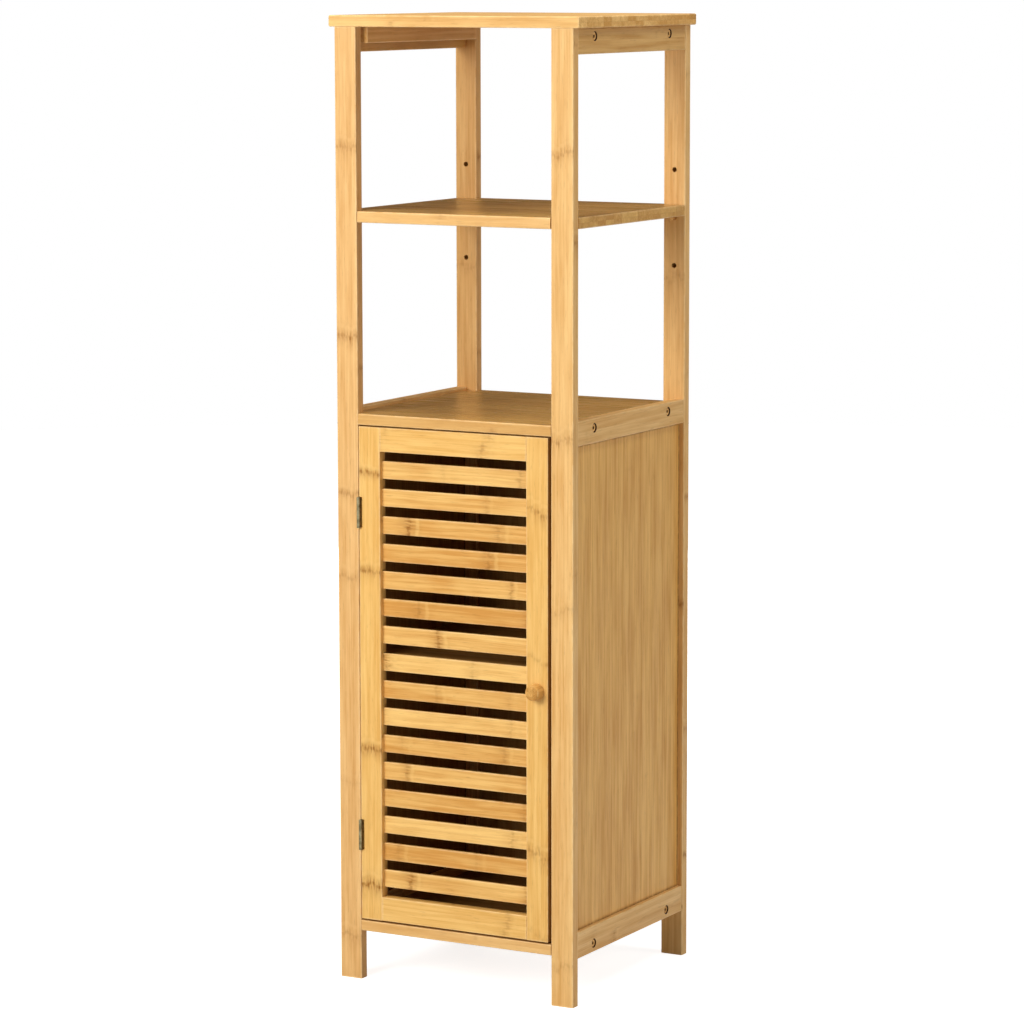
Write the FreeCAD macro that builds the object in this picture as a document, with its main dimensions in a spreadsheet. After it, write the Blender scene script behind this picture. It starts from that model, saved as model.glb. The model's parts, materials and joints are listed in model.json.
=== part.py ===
import FreeCAD, Part
import Sketcher
import os
import re

# Bamboo bathroom cabinet: two side frames carry a top, an open shelf and a closed part with a slatted
# door. X runs to the right, Y to the back and Z up. The origin is on the floor under the middle of the
# whole object, so the knob, which stands out in front, moves the posts back by half its length.

SIZES = [
    # whole cabinet
    ("cabinet_height", 1200),
    ("frame_width", 330),
    ("frame_depth", 312),
    ("board_thickness", 14),
    ("board_round", 2),
    ("cut_overrun", 1),
    # top
    ("top_side_overhang", 8),
    ("top_front_overhang", 1),
    ("cleat_width", 20),
    ("cleat_height", 20),
    ("cleat_end_gap", 7),
    # side frames
    ("post_width", 30),
    ("post_depth", 14),
    ("frame_round", 1.5),
    ("rail_thickness", 14),
    ("top_rail_height", 31),
    ("mid_rail_height", 30),
    ("base_rail_height", 33),
    ("rail_inset", 1),
    ("mid_rail_bottom", 688),
    ("base_rail_bottom", 58),
    ("side_panel_thickness", 5),
    ("side_panel_inset", 7),
    ("groove_depth", 6),
    ("panel_slack", 0.3),
    ("dowel_diameter", 6),
    ("dowel_spacing", 11),
    ("dowel_in_post", 9),
    ("dowel_in_rail", 15),
    # closed part
    ("cabinet_top_level", 699.5),
    ("bottom_level", 62),
    ("notch_clearance", 0.3),
    ("back_thickness", 4),
    ("back_inset", 5),
    ("back_groove_depth", 5),
    # connector bolts, set in from the ends of the rails, with sunk heads, and their insert nuts
    ("bolt_offset", 43),
    ("bolt_diameter", 6),
    ("bolt_head_diameter", 10.4),
    ("bolt_head_face", 9.4),
    ("bolt_head_height", 2.4),
    ("bolt_head_room", 0.4),
    ("bolt_sink", 1.2),
    ("bolt_socket_corners", 4.6),
    ("bolt_socket_depth", 3),
    ("nut_diameter", 9),
    ("nut_length", 13),
    # shelves and their pins; levels from the top panel down and from the bottom panel up
    ("shelf_clearance", 1),
    ("pin_diameter", 6),
    ("pin_depth", 8),
    ("pin_reach", 9),
    ("pin_flat", 2.4),
    ("pin_pitch", 60),
    ("open_pin_level", 240),
    ("inner_pin_level", 320.5),
    ("inner_pin_offset", 21),
    ("inner_shelf_setback", 5),
    # door
    ("door_thickness", 14),
    ("door_left_gap", 0.8),
    ("door_right_gap", 4.2),
    ("door_top_gap", 1.5),
    ("door_bottom_gap", 2),
    ("door_round", 1),
    ("stile_width", 30),
    ("door_rail_height", 30),
    ("door_dowel_spacing", 16),
    ("dowel_in_stile", 15),
    ("slat_count", 16),
    ("slat_height", 22),
    ("slat_thickness", 5),
    ("slat_recess", 6),
    ("slat_tenon", 6),
    ("slat_round", 1.2),
    # knob
    ("knob_length", 15),
    ("knob_front_diameter", 18.4),
    ("knob_base_diameter", 20.4),
    ("knob_round", 3),
    ("knob_base_round", 1),
    ("knob_screw_diameter", 4),
    ("knob_screw_head_diameter", 8),
    ("knob_screw_head_height", 2),
    ("knob_screw_reach", 9),
    # hinges
    ("hinge_length", 38),
    ("hinge_from_end", 107),
    ("hinge_leaf", 1),
    ("hinge_leaf_gap", 0.4),
    ("hinge_leaf_reach", 11),
    ("hinge_barrel_diameter", 4.2),
    ("hinge_pin_diameter", 2.2),
    ("hinge_axis_proud", 2.3),
    ("hinge_relief_width", 3.2),
    ("hinge_relief_depth", 3.2),
    ("hinge_running", 0.05),
    ("hinge_play", 0.3),
    ("hinge_screw_setback", 6),
    ("hinge_screw_spacing", 22),
    # small wood screws of the hinges and the catch
    ("screw_diameter", 2.5),
    ("screw_head_diameter", 4.6),
    ("screw_head_height", 1),
    ("screw_length", 12),
    # screws that hold the cleats to the top, set in from the bolts
    ("cleat_screw_diameter", 4),
    ("cleat_screw_head_diameter", 8),
    ("cleat_screw_head_height", 3),
    ("cleat_screw_offset", 39),
    ("cleat_screw_bite", 9),
    # magnetic catch and strike plate, set in from the door's free edge
    ("catch_offset", 72),
    ("catch_width", 30),
    ("catch_depth", 14),
    ("catch_height", 12),
    ("catch_ear_width", 8),
    ("catch_ear_depth", 9),
    ("catch_ear_height", 4),
    ("catch_gap", 0.2),
    ("magnet_width", 24),
    ("magnet_depth", 10),
    ("magnet_height", 8),
    ("strike_width", 30),
    ("strike_height", 10),
    ("strike_thickness", 1.2),
    ("strike_screw_spacing", 20),
    ("strike_top_margin", 0.5),
]
NAMES = {name for name, _ in SIZES}

# Levels and planes that several pieces share, each written with the named sizes
FRONT = "((knob_length - frame_depth) / 2)"
REAR = "((knob_length + frame_depth) / 2)"
MIDDLE = "(knob_length / 2)"
SIDE = "(frame_width / 2)"
POST_INNER = "(frame_width / 2 - post_width)"
BEHIND_POST = f"({FRONT} + post_depth)"
BEFORE_POST = f"({REAR} - post_depth)"
RAIL_LENGTH = "(frame_depth - 2 * post_depth)"
RAIL_OUTER = f"({SIDE} - rail_inset)"
RAIL_INNER = f"({RAIL_OUTER} - rail_thickness)"
SEAT_DEPTH = "(bolt_sink + bolt_head_height)"
BOLT_SEAT = f"({RAIL_OUTER} - {SEAT_DEPTH})"
UNDER_TOP = "(cabinet_height - board_thickness)"
TOP_RAIL_BOTTOM = f"({UNDER_TOP} - top_rail_height)"
BASE_RAIL_TOP = "(base_rail_bottom + base_rail_height)"
ABOVE_BOTTOM = "(bottom_level + board_thickness)"
DOOR_LEFT = f"(door_left_gap - {POST_INNER})"
DOOR_RIGHT = f"({POST_INNER} - door_right_gap)"
DOOR_BOTTOM = f"({ABOVE_BOTTOM} + door_bottom_gap)"
DOOR_TOP = "(cabinet_top_level - door_top_gap)"
DOOR_HEIGHT = f"({DOOR_TOP} - {DOOR_BOTTOM})"
DOOR_REAR = f"({FRONT} + door_thickness)"
DOOR_CENTRE = f"(({DOOR_LEFT} + {DOOR_RIGHT}) / 2)"
DOOR_MIDDLE = f"(({DOOR_BOTTOM} + {DOOR_TOP}) / 2)"
OPENING_WIDTH = f"({DOOR_RIGHT} - {DOOR_LEFT} - 2 * stile_width)"
OPENING_HEIGHT = f"({DOOR_HEIGHT} - 2 * door_rail_height)"
SLAT_GAP = f"(({OPENING_HEIGHT} - slat_count * slat_height) / (slat_count + 1))"
SLAT_PITCH = f"(slat_height + {SLAT_GAP})"
FIRST_SLAT = f"(door_rail_height + {SLAT_GAP})"
HINGE_X = f"(hinge_leaf + hinge_leaf_gap / 2 - {POST_INNER})"
HINGE_Y = f"({FRONT} - hinge_axis_proud)"
HINGE_LEVELS = {
    "upper": f"({DOOR_TOP} - hinge_from_end - hinge_length / 2)",
    "lower": f"({DOOR_BOTTOM} + hinge_from_end - hinge_length / 2)",
}
HINGE_MORTISE = "(2 * hinge_leaf + hinge_leaf_gap - door_left_gap)"
HINGE_SCREWS = ("(hinge_length - hinge_screw_spacing) / 2", "(hinge_length + hinge_screw_spacing) / 2")
BOLT_REACH = f"({RAIL_LENGTH} / 2 - bolt_offset)"
BOLT_LEVELS = {
    "top": f"({UNDER_TOP} - cleat_height / 2)",
    "mid": "(cabinet_top_level + board_thickness / 2)",
    "base": "(bottom_level + board_thickness / 2)",
}
RAIL_LEVELS = {
    "top": (TOP_RAIL_BOTTOM, "top_rail_height"),
    "mid": ("mid_rail_bottom", "mid_rail_height"),
    "base": ("base_rail_bottom", "base_rail_height"),
}
CLEAT_SCREW_REACH = f"({BOLT_REACH} - cleat_screw_offset)"
OPEN_PINS = f"({UNDER_TOP} - open_pin_level)"
INNER_PINS = f"({ABOVE_BOTTOM} + inner_pin_level)"
CATCH_X = f"({DOOR_RIGHT} - catch_offset)"
CATCH_FRONT = f"({DOOR_REAR} + strike_thickness + catch_gap)"
CATCH_SCREWS = ("(catch_width + catch_ear_width) / 2", "-(catch_width + catch_ear_width) / 2")

doc = FreeCAD.newDocument("BambooCabinet")
sheet = doc.addObject("Spreadsheet::Sheet", "Sizes")
for row, (name, number) in enumerate(SIZES, start=1):
    sheet.set(f"A{row}", name)
    sheet.set(f"B{row}", str(number))
    sheet.setAlias(f"B{row}", name)
doc.recompute()

NODES = []


# Helpers

def formula(text):
    """The expression with each named size read from the sheet."""
    return re.sub(r"[a-z][a-z_]*", lambda m: "Sizes." + m.group() if m.group() in NAMES else m.group(), text)


def value(text):
    """The expression's present number, for first guesses and edge choices."""
    return float(sheet.evalExpression(formula(text)))


def bind(item, **paths):
    """Ties properties to expressions: Length="post_width", Placement_Base_x=..., and so on."""
    for path, text in paths.items():
        item.setExpression(path.replace("_", "."), formula(text))


def place(item, x, y, z):
    bind(item, Placement_Base_x=x, Placement_Base_y=y, Placement_Base_z=z)


def turn(item, axis, degrees):
    item.Placement = FreeCAD.Placement(FreeCAD.Vector(), FreeCAD.Rotation(FreeCAD.Vector(*axis), degrees))


def keep(item, label):
    """Marks a finished piece: its label names its file."""
    item.Label = label
    NODES.append(item)
    return item


# PartDesign helpers: a body is drawn in its own corner and then placed

def origin_feature(body, role):
    return next(item for item in body.Origin.OriginFeatures if item.Role == role)


def sketch_on(body, axis, name, at):
    """A sketch square to one axis, with its own zero at the point given in the body."""
    role, order = {
        "x": ("YZ_Plane", (at[1], at[2], at[0])),
        "y": ("XZ_Plane", (at[0], at[2], f"-({at[1]})")),
        "z": ("XY_Plane", (at[0], at[1], at[2])),
    }[axis]
    sketch = body.newObject("Sketcher::SketchObject", name)
    sketch.AttachmentSupport = [(origin_feature(body, role), "")]
    sketch.MapMode = "FlatFace"
    for letter, text in zip("xyz", order):
        sketch.setExpression(f"AttachmentOffset.Base.{letter}", formula(text))
    return sketch


def hold_point(sketch, geometry, which, point):
    """Fixes a point of the sketch at two expressions; zero puts it on the sketch's own axis."""
    for kind, rim, text in zip(("DistanceX", "DistanceY"), (-2, -1), point):
        if text == "0":
            sketch.addConstraint(Sketcher.Constraint("PointOnObject", geometry, which, rim))
        else:
            index = sketch.addConstraint(Sketcher.Constraint(kind, -1, 1, geometry, which, value(text)))
            sketch.setExpression(f"Constraints[{index}]", formula(text))


def outline(sketch, points):
    """A closed run of straight lines through points given as pairs of expressions."""
    spots = [FreeCAD.Vector(value(u), value(v), 0) for u, v in points]
    for start, end in zip(spots, spots[1:] + spots[:1]):
        sketch.addGeometry(Part.LineSegment(start, end), False)
    for index in range(len(points)):
        following = (index + 1) % len(points)
        sketch.addConstraint(Sketcher.Constraint("Coincident", index, 2, following, 1))
    for index, point in enumerate(points):
        hold_point(sketch, index, 1, point)


def rectangle(sketch, width, height):
    outline(sketch, [("0", "0"), (width, "0"), (width, height), ("0", height)])


def circles(sketch, diameter, centres):
    for index, (u, v) in enumerate(centres):
        spot = FreeCAD.Vector(value(u), value(v), 0)
        sketch.addGeometry(Part.Circle(spot, FreeCAD.Vector(0, 0, 1), value(diameter) / 2), False)
        hold_point(sketch, index, 3, (u, v))
        size = sketch.addConstraint(Sketcher.Constraint("Diameter", index, value(diameter)))
        sketch.setExpression(f"Constraints[{size}]", formula(diameter))


def pad(body, points, thickness):
    """The first solid of a body: an outline in the XY plane raised to its thickness."""
    sketch = sketch_on(body, "z", "Outline", ("0", "0", "0"))
    outline(sketch, points)
    feature = body.newObject("PartDesign::Pad", "Board")
    feature.Profile = sketch
    bind(feature, Length=thickness)
    doc.recompute()
    return feature


def board(label, corner, size):
    """A plain board with its lowest corner at the point given."""
    body = doc.addObject("PartDesign::Body", label)
    width, depth, height = size
    pad(body, [("0", "0"), (width, "0"), (width, depth), ("0", depth)], height)
    place(body, *corner)
    return keep(body, label)


def round_edges(body, radius, wanted):
    """Eases the edges of the body's last feature that the test picks."""
    base = body.Tip
    picked = [f"Edge{i}" for i, edge in enumerate(base.Shape.Edges, start=1) if wanted(edge)]
    feature = body.newObject("PartDesign::Fillet", "Eased")
    feature.Base = (base, picked)
    bind(feature, Radius=radius)
    doc.recompute()


def runs_along(edge, axis):
    """True for an edge parallel to the axis."""
    start, end = edge.Vertexes[0].Point, edge.Vertexes[-1].Point
    across = [abs(getattr(end, letter) - getattr(start, letter)) for letter in "xyz" if letter != axis]
    return max(across) < 1e-6


def lies_at(edge, axis, text):
    """True for an edge whose every end has the given coordinate."""
    return all(abs(getattr(vertex.Point, axis) - value(text)) < 1e-6 for vertex in edge.Vertexes)


def cut_in(body, name, axis, sign, at, depth, draw):
    """Pockets what draw() puts in the sketch, along +axis or -axis, and makes sure that it cuts."""
    before = body.Shape.Volume
    sketch = sketch_on(body, axis, name + "Sketch", at)
    draw(sketch)
    feature = body.newObject("PartDesign::Pocket", name)
    feature.Profile = sketch
    feature.Reversed = (sign > 0) if axis in "xz" else (sign < 0)
    bind(feature, Length=depth)
    doc.recompute()
    if not body.Shape.Volume < before:
        raise RuntimeError(f"{body.Label}: {name} cuts nothing")
    return feature


def bores(body, name, axis, sign, at, diameter, centres, depth):
    return cut_in(body, name, axis, sign, at, depth, lambda sketch: circles(sketch, diameter, centres))


def trench(body, name, axis, sign, at, width, height, depth):
    return cut_in(body, name, axis, sign, at, depth, lambda sketch: rectangle(sketch, width, height))


# Part helpers: primitives, booleans, mirror images and groups

def box(name, corner, size):
    item = doc.addObject("Part::Box", name)
    bind(item, Length=size[0], Width=size[1], Height=size[2])
    place(item, *corner)
    return item


TURNS = {"+x": ((0, 1, 0), 90), "-x": ((0, 1, 0), -90), "+y": ((1, 0, 0), -90), "-y": ((1, 0, 0), 90),
         "+z": ((0, 0, 1), 0), "-z": ((1, 0, 0), 180)}


def rod(name, start, way, diameter, length):
    item = doc.addObject("Part::Cylinder", name)
    turn(item, *TURNS[way])
    bind(item, Radius=f"({diameter}) / 2", Height=length)
    place(item, *start)
    return item


def cone(name, start, way, diameter, end_diameter, length):
    item = doc.addObject("Part::Cone", name)
    turn(item, *TURNS[way])
    bind(item, Radius1=f"({diameter}) / 2", Radius2=f"({end_diameter}) / 2", Height=length)
    place(item, *start)
    return item


def cut(name, base, tools):
    """The base without the tools, one cut after the other."""
    for index, tool in enumerate(tools, start=1):
        item = doc.addObject("Part::Cut", f"{name}Cut{index}")
        item.Base = base
        item.Tool = tool
        base = item
    return base


def fuse(name, pieces):
    item = doc.addObject("Part::MultiFuse", name)
    item.Shapes = pieces
    return item


def mirror(name, source, normal, point):
    item = doc.addObject("Part::Mirroring", name)
    item.Source = source
    item.Normal = FreeCAD.Vector(*normal)
    bind(item, Base_x=point[0], Base_y=point[1], Base_z=point[2])
    return item


def four_ways(name, piece, normal=(0, 1, 0), point=("0", MIDDLE, "0")):
    """The piece with its images to the left, across the second plane, and across both."""
    left = mirror(name + "Left", piece, (1, 0, 0), point)
    return [piece, left, mirror(name + "Across", piece, normal, point),
            mirror(name + "LeftAcross", left, normal, point)]


def group(label, pieces):
    item = doc.addObject("Part::Compound", label)
    item.Links = pieces
    return keep(item, label)


# Posts

def rail_dowel_levels():
    """Heights of the two dowels at each rail end, from the floor."""
    levels = []
    for bottom, height in RAIL_LEVELS.values():
        centre = f"{bottom} + {height} / 2"
        levels += [f"{centre} - dowel_spacing / 2", f"{centre} + dowel_spacing / 2"]
    return levels


def post(label, left, front):
    corner = (f"-{SIDE}" if left else POST_INNER, FRONT if front else BEFORE_POST, "0")
    body = board(label, corner, ("post_width", "post_depth", UNDER_TOP))
    round_edges(body, "frame_round", lambda edge: runs_along(edge, "z"))

    def from_outside(distance):
        return distance if left else f"post_width - ({distance})"

    face = ("0", "post_depth" if front else "0", "0")
    inward = -1 if front else 1
    pin_rows = {"Open": ("post_width / 2", OPEN_PINS), "Inner": ("inner_pin_offset", INNER_PINS)}
    for name, (offset, level) in pin_rows.items():
        holes = [(from_outside(offset), f"{level} + ({step}) * pin_pitch") for step in (-1, 0, 1)]
        bores(body, f"{name}Pins", "y", inward, face, "pin_diameter", holes, "pin_depth")
    dowels = [(from_outside("rail_inset + rail_thickness / 2"), level) for level in rail_dowel_levels()]
    bores(body, "Dowels", "y", inward, face, "dowel_diameter", dowels, "dowel_in_post")

    start = "side_panel_inset" if left else "post_width - side_panel_inset - side_panel_thickness"
    groove_base = f"{BASE_RAIL_TOP} - groove_depth"
    groove_length = f"mid_rail_bottom - {BASE_RAIL_TOP} + 2 * groove_depth"
    trench(body, "PanelGroove", "y", inward, (start, face[1], groove_base),
           "side_panel_thickness", groove_length, "groove_depth")
    return body


def hinge_holes(body):
    """Pilot holes of the hinge screws in the front left post."""
    for name, level in HINGE_LEVELS.items():
        holes = [("hinge_screw_setback", height) for height in HINGE_SCREWS]
        bores(body, f"HingeScrews{name.title()}", "x", -1, ("post_width", "0", level),
              "screw_diameter", holes, "screw_length - screw_head_height")


def back_groove(body, left):
    """Groove of the back panel in a rear post."""
    face = "post_width" if left else "0"
    base = f"{ABOVE_BOTTOM} - back_groove_depth"
    length = f"cabinet_top_level - {ABOVE_BOTTOM} + 2 * back_groove_depth"
    at = (face, "post_depth - back_inset - back_thickness", base)
    trench(body, "BackGroove", "x", -1 if left else 1, at, "back_thickness", length, "back_groove_depth")


hinge_holes(post("post_front_left", left=True, front=True))
post("post_front_right", left=False, front=True)
back_groove(post("post_rear_left", left=True, front=False), left=True)
back_groove(post("post_rear_right", left=False, front=False), left=False)


# Side rails with their bolt holes, dowel holes and panel grooves

def side_rail(level, side):
    left = side == "left"
    bottom, height = RAIL_LEVELS[level]
    corner = (f"-{RAIL_OUTER}" if left else RAIL_INNER, BEHIND_POST, bottom)
    body = board(f"{level}_rail_{side}", corner, ("rail_thickness", RAIL_LENGTH, height))
    round_edges(body, "frame_round", lambda edge: runs_along(edge, "y"))

    bolt_level = f"{BOLT_LEVELS[level]} - {bottom}"
    bolts = [("bolt_offset", bolt_level), (f"{RAIL_LENGTH} - bolt_offset", bolt_level)]
    bores(body, "Bolts", "x", 1, ("0", "0", "0"), "bolt_diameter", bolts, "rail_thickness + cut_overrun")
    bores(body, "BoltSeats", "x", 1 if left else -1, ("0" if left else "rail_thickness", "0", "0"),
          "bolt_head_diameter + 2 * bolt_head_room", bolts, SEAT_DEPTH)
    dowels = [("rail_thickness / 2", f"({height} - dowel_spacing) / 2"),
              ("rail_thickness / 2", f"({height} + dowel_spacing) / 2")]
    bores(body, "FrontDowels", "y", 1, ("0", "0", "0"), "dowel_diameter", dowels, "dowel_in_rail")
    bores(body, "RearDowels", "y", -1, ("0", RAIL_LENGTH, "0"), "dowel_diameter", dowels, "dowel_in_rail")

    if level != "top":
        outer = "side_panel_inset - rail_inset"
        start = outer if left else f"rail_thickness - ({outer}) - side_panel_thickness"
        at = (start, "0", height if level == "base" else "0")
        trench(body, "PanelGroove", "z", -1 if level == "base" else 1, at,
               "side_panel_thickness", RAIL_LENGTH, "groove_depth")


for level in RAIL_LEVELS:
    for side in ("left", "right"):
        side_rail(level, side)


# Side panels and back panel, loose in their grooves

def side_panel(side):
    outer = f"({SIDE} - side_panel_inset)"
    x = f"-{outer}" if side == "left" else f"{outer} - side_panel_thickness"
    tongue = "(groove_depth - panel_slack)"
    height = f"mid_rail_bottom - {BASE_RAIL_TOP} + groove_depth + {tongue}"
    board(f"side_panel_{side}", (x, f"{BEHIND_POST} - {tongue}", f"{BASE_RAIL_TOP} - groove_depth"),
          ("side_panel_thickness", f"{RAIL_LENGTH} + 2 * {tongue}", height))


side_panel("left")
side_panel("right")


def back_panel():
    half = f"({POST_INNER} + back_groove_depth - panel_slack)"
    corner = (f"-{half}", f"{REAR} - back_inset - back_thickness", f"{ABOVE_BOTTOM} - back_groove_depth")
    height = f"cabinet_top_level - {ABOVE_BOTTOM} + 2 * back_groove_depth - panel_slack"
    board("back_panel", corner, (f"2 * {half}", "back_thickness", height))


back_panel()


# Rail dowels

def rail_dowels():
    pieces = []
    for index, level in enumerate(rail_dowel_levels(), start=1):
        start = (f"{RAIL_OUTER} - rail_thickness / 2", f"{BEFORE_POST} + dowel_in_post", level)
        dowel = rod(f"RailDowel{index}", start, "-y", "dowel_diameter", "dowel_in_post + dowel_in_rail")
        pieces += four_ways(f"RailDowel{index}", dowel)
    group("rail_dowels", pieces)


rail_dowels()


# Top panel, its two cleats and their screws

def top_panel():
    half = f"({SIDE} + top_side_overhang)"
    depth = "(frame_depth + top_front_overhang)"
    body = board("top_panel", (f"-{half}", f"{FRONT} - top_front_overhang", UNDER_TOP),
                 (f"2 * {half}", depth, "board_thickness"))
    round_edges(body, "board_round", lambda edge: True)
    across = [f"{half} {sign} ({RAIL_INNER} - cleat_width / 2)" for sign in "+-"]
    along = [f"top_front_overhang + frame_depth / 2 {sign} {CLEAT_SCREW_REACH}" for sign in "+-"]
    holes = [(x, y) for x in across for y in along]
    bores(body, "CleatScrews", "z", 1, ("0", "0", "0"), "cleat_screw_diameter", holes, "cleat_screw_bite")


def top_cleat(side):
    left = side == "left"
    length = f"({RAIL_LENGTH} - 2 * cleat_end_gap)"
    corner = (f"-{RAIL_INNER}" if left else f"{RAIL_INNER} - cleat_width",
              f"{BEHIND_POST} + cleat_end_gap", f"{UNDER_TOP} - cleat_height")
    body = board(f"top_cleat_{side}", corner, ("cleat_width", length, "cleat_height"))
    round_edges(body, "frame_round", lambda edge: runs_along(edge, "y") and lies_at(edge, "z", "0"))
    below = ("0", "0", "0")
    nuts = [(f"{length} / 2 {sign} {BOLT_REACH}", "cleat_height / 2") for sign in "+-"]
    bores(body, "Nuts", "x", 1 if left else -1, below if left else ("cleat_width", "0", "0"),
          "nut_diameter", nuts, "nut_length")
    screws = [("cleat_width / 2", f"{length} / 2 {sign} {CLEAT_SCREW_REACH}") for sign in "+-"]
    bores(body, "Screws", "z", 1, below, "cleat_screw_diameter", screws, "cleat_height + cut_overrun")
    bores(body, "Heads", "z", 1, below, "cleat_screw_head_diameter", screws, "cleat_screw_head_height")


top_panel()
top_cleat("left")
top_cleat("right")


def cleat_screws():
    start = (f"{RAIL_INNER} - cleat_width / 2", f"{MIDDLE} + {CLEAT_SCREW_REACH}",
             f"{UNDER_TOP} - cleat_height")
    screw = fuse("CleatScrew", [
        rod("CleatScrewHead", start, "+z", "cleat_screw_head_diameter", "cleat_screw_head_height"),
        rod("CleatScrewShank", start, "+z", "cleat_screw_diameter", "cleat_height + cleat_screw_bite"),
    ])
    group("cleat_screws", four_ways("CleatScrew", screw))


cleat_screws()


# Boards that are notched round the four posts

def notched_board(label, half_width, clearance, level):
    """A board as deep as the frame, with a tongue between the front posts and one between the rear posts."""
    body = doc.addObject("PartDesign::Body", label)
    width = f"(2 * {half_width})"
    side = f"({half_width} - {POST_INNER} + {clearance})"
    near = f"(post_depth + {clearance})"
    far = f"(frame_depth - {near})"
    right = f"({width} - {side})"
    front_half = [("0", near), (side, near), (side, "0"), (right, "0"), (right, near), (width, near)]
    end = "frame_depth"
    rear_half = [(width, far), (right, far), (right, end), (side, end), (side, far), ("0", far)]
    pad(body, front_half + rear_half, "board_thickness")
    place(body, f"-{half_width}", FRONT, level)
    return keep(body, label)


def ease_ends(body):
    """Rounds the long edges of both tongues."""
    round_edges(body, "board_round", lambda edge: runs_along(edge, "x")
                and (lies_at(edge, "y", "0") or lies_at(edge, "y", "frame_depth")))


def nut_holes(body):
    width = f"(2 * {RAIL_INNER})"
    nuts = [(f"frame_depth / 2 {sign} {BOLT_REACH}", "board_thickness / 2") for sign in "+-"]
    bores(body, "LeftNuts", "x", 1, ("0", "0", "0"), "nut_diameter", nuts, "nut_length")
    bores(body, "RightNuts", "x", -1, (width, "0", "0"), "nut_diameter", nuts, "nut_length")


def tongue_groove(body, height, sign):
    """Groove for the back panel across the rear tongue."""
    trench(body, "BackGroove", "z", sign, ("0", "frame_depth - back_inset - back_thickness", height),
           f"2 * {RAIL_INNER}", "back_thickness", "back_groove_depth")


cabinet_top = notched_board("cabinet_top", RAIL_INNER, "notch_clearance", "cabinet_top_level")
ease_ends(cabinet_top)
nut_holes(cabinet_top)
tongue_groove(cabinet_top, "0", 1)
catch_holes = [(f"{RAIL_INNER} + {CATCH_X} + {shift}", f"{CATCH_FRONT} - {FRONT} + catch_ear_depth / 2")
               for shift in CATCH_SCREWS]
bores(cabinet_top, "CatchScrews", "z", 1, ("0", "0", "0"), "screw_diameter", catch_holes,
      "screw_length - catch_ear_height")

bottom_panel = notched_board("bottom_panel", RAIL_INNER, "notch_clearance", "bottom_level")
ease_ends(bottom_panel)
nut_holes(bottom_panel)
tongue_groove(bottom_panel, "board_thickness", -1)

open_shelf = notched_board("open_shelf", SIDE, "shelf_clearance", f"{OPEN_PINS} + pin_flat")
round_edges(open_shelf, "board_round", lambda edge: not runs_along(edge, "z") and (
    lies_at(edge, "y", "0") or lies_at(edge, "y", "frame_depth")
    or lies_at(edge, "x", "0") or lies_at(edge, "x", "frame_width")))


# Inner shelf and the pins of both shelves

def inner_shelf():
    half = f"({SIDE} - side_panel_inset - side_panel_thickness - shelf_clearance)"
    depth = f"({RAIL_LENGTH} - inner_shelf_setback - shelf_clearance)"
    corner = (f"-{half}", f"{BEHIND_POST} + inner_shelf_setback", f"{INNER_PINS} + pin_flat")
    body = board("inner_shelf", corner, (f"2 * {half}", depth, "board_thickness"))
    round_edges(body, "board_round", lambda edge: runs_along(edge, "x") and lies_at(edge, "y", "0"))


def shelf_pins(label, name, across, level):
    """Four round pins in the posts, each with a flat on which the shelf lies."""
    pin = rod(f"{name}Rod", (across, f"{BEFORE_POST} + pin_depth", level), "-y", "pin_diameter",
              "pin_depth + pin_reach")
    corner = (f"{across} - pin_diameter / 2", f"{BEFORE_POST} - pin_reach - cut_overrun",
              f"{level} + pin_flat")
    flat = box(f"{name}Flat", corner, ("pin_diameter", "pin_reach + cut_overrun", "pin_diameter"))
    group(label, four_ways(name, cut(name, pin, [flat])))


inner_shelf()
shelf_pins("open_shelf_pins", "OpenPin", f"({SIDE} - post_width / 2)", OPEN_PINS)
shelf_pins("inner_shelf_pins", "InnerPin", f"({SIDE} - inner_pin_offset)", INNER_PINS)


# Connector bolts with their insert nuts, four at each level

def connector(level):
    """One bolt and one nut at the rear right end of a rail level."""
    bolt_y = f"{MIDDLE} + {BOLT_REACH}"
    height = BOLT_LEVELS[level]
    seat = (BOLT_SEAT, bolt_y, height)
    head = cone(f"Head{level}", seat, "+x", "bolt_head_diameter", "bolt_head_face", "bolt_head_height")
    shank = rod(f"Shank{level}", seat, "-x", "bolt_diameter", f"rail_thickness - {SEAT_DEPTH} + nut_length")
    socket = doc.addObject("Part::Prism", f"Socket{level}")
    turn(socket, *TURNS["-x"])
    bind(socket, Circumradius="bolt_socket_corners / 2", Height="bolt_socket_depth + cut_overrun")
    place(socket, f"{BOLT_SEAT} + bolt_head_height + cut_overrun", bolt_y, height)
    bolt = cut(f"Bolt{level}", fuse(f"Bolt{level}", [head, shank]), [socket])
    inside = (RAIL_INNER, bolt_y, height)
    sleeve = rod(f"Sleeve{level}", inside, "-x", "nut_diameter", "nut_length")
    nut_bore = rod(f"NutBore{level}", inside, "-x", "bolt_diameter", "nut_length")
    return bolt, cut(f"Nut{level}", sleeve, [nut_bore])


bolts, nuts = [], []
for level in BOLT_LEVELS:
    bolt, nut = connector(level)
    bolts += four_ways(f"Bolt{level}", bolt)
    nuts += four_ways(f"Nut{level}", nut)
group("frame_bolts", bolts)
group("insert_nuts", nuts)


# Door frame

DOOR_DOWELS = ("(door_rail_height - door_dowel_spacing) / 2", "(door_rail_height + door_dowel_spacing) / 2")


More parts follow.
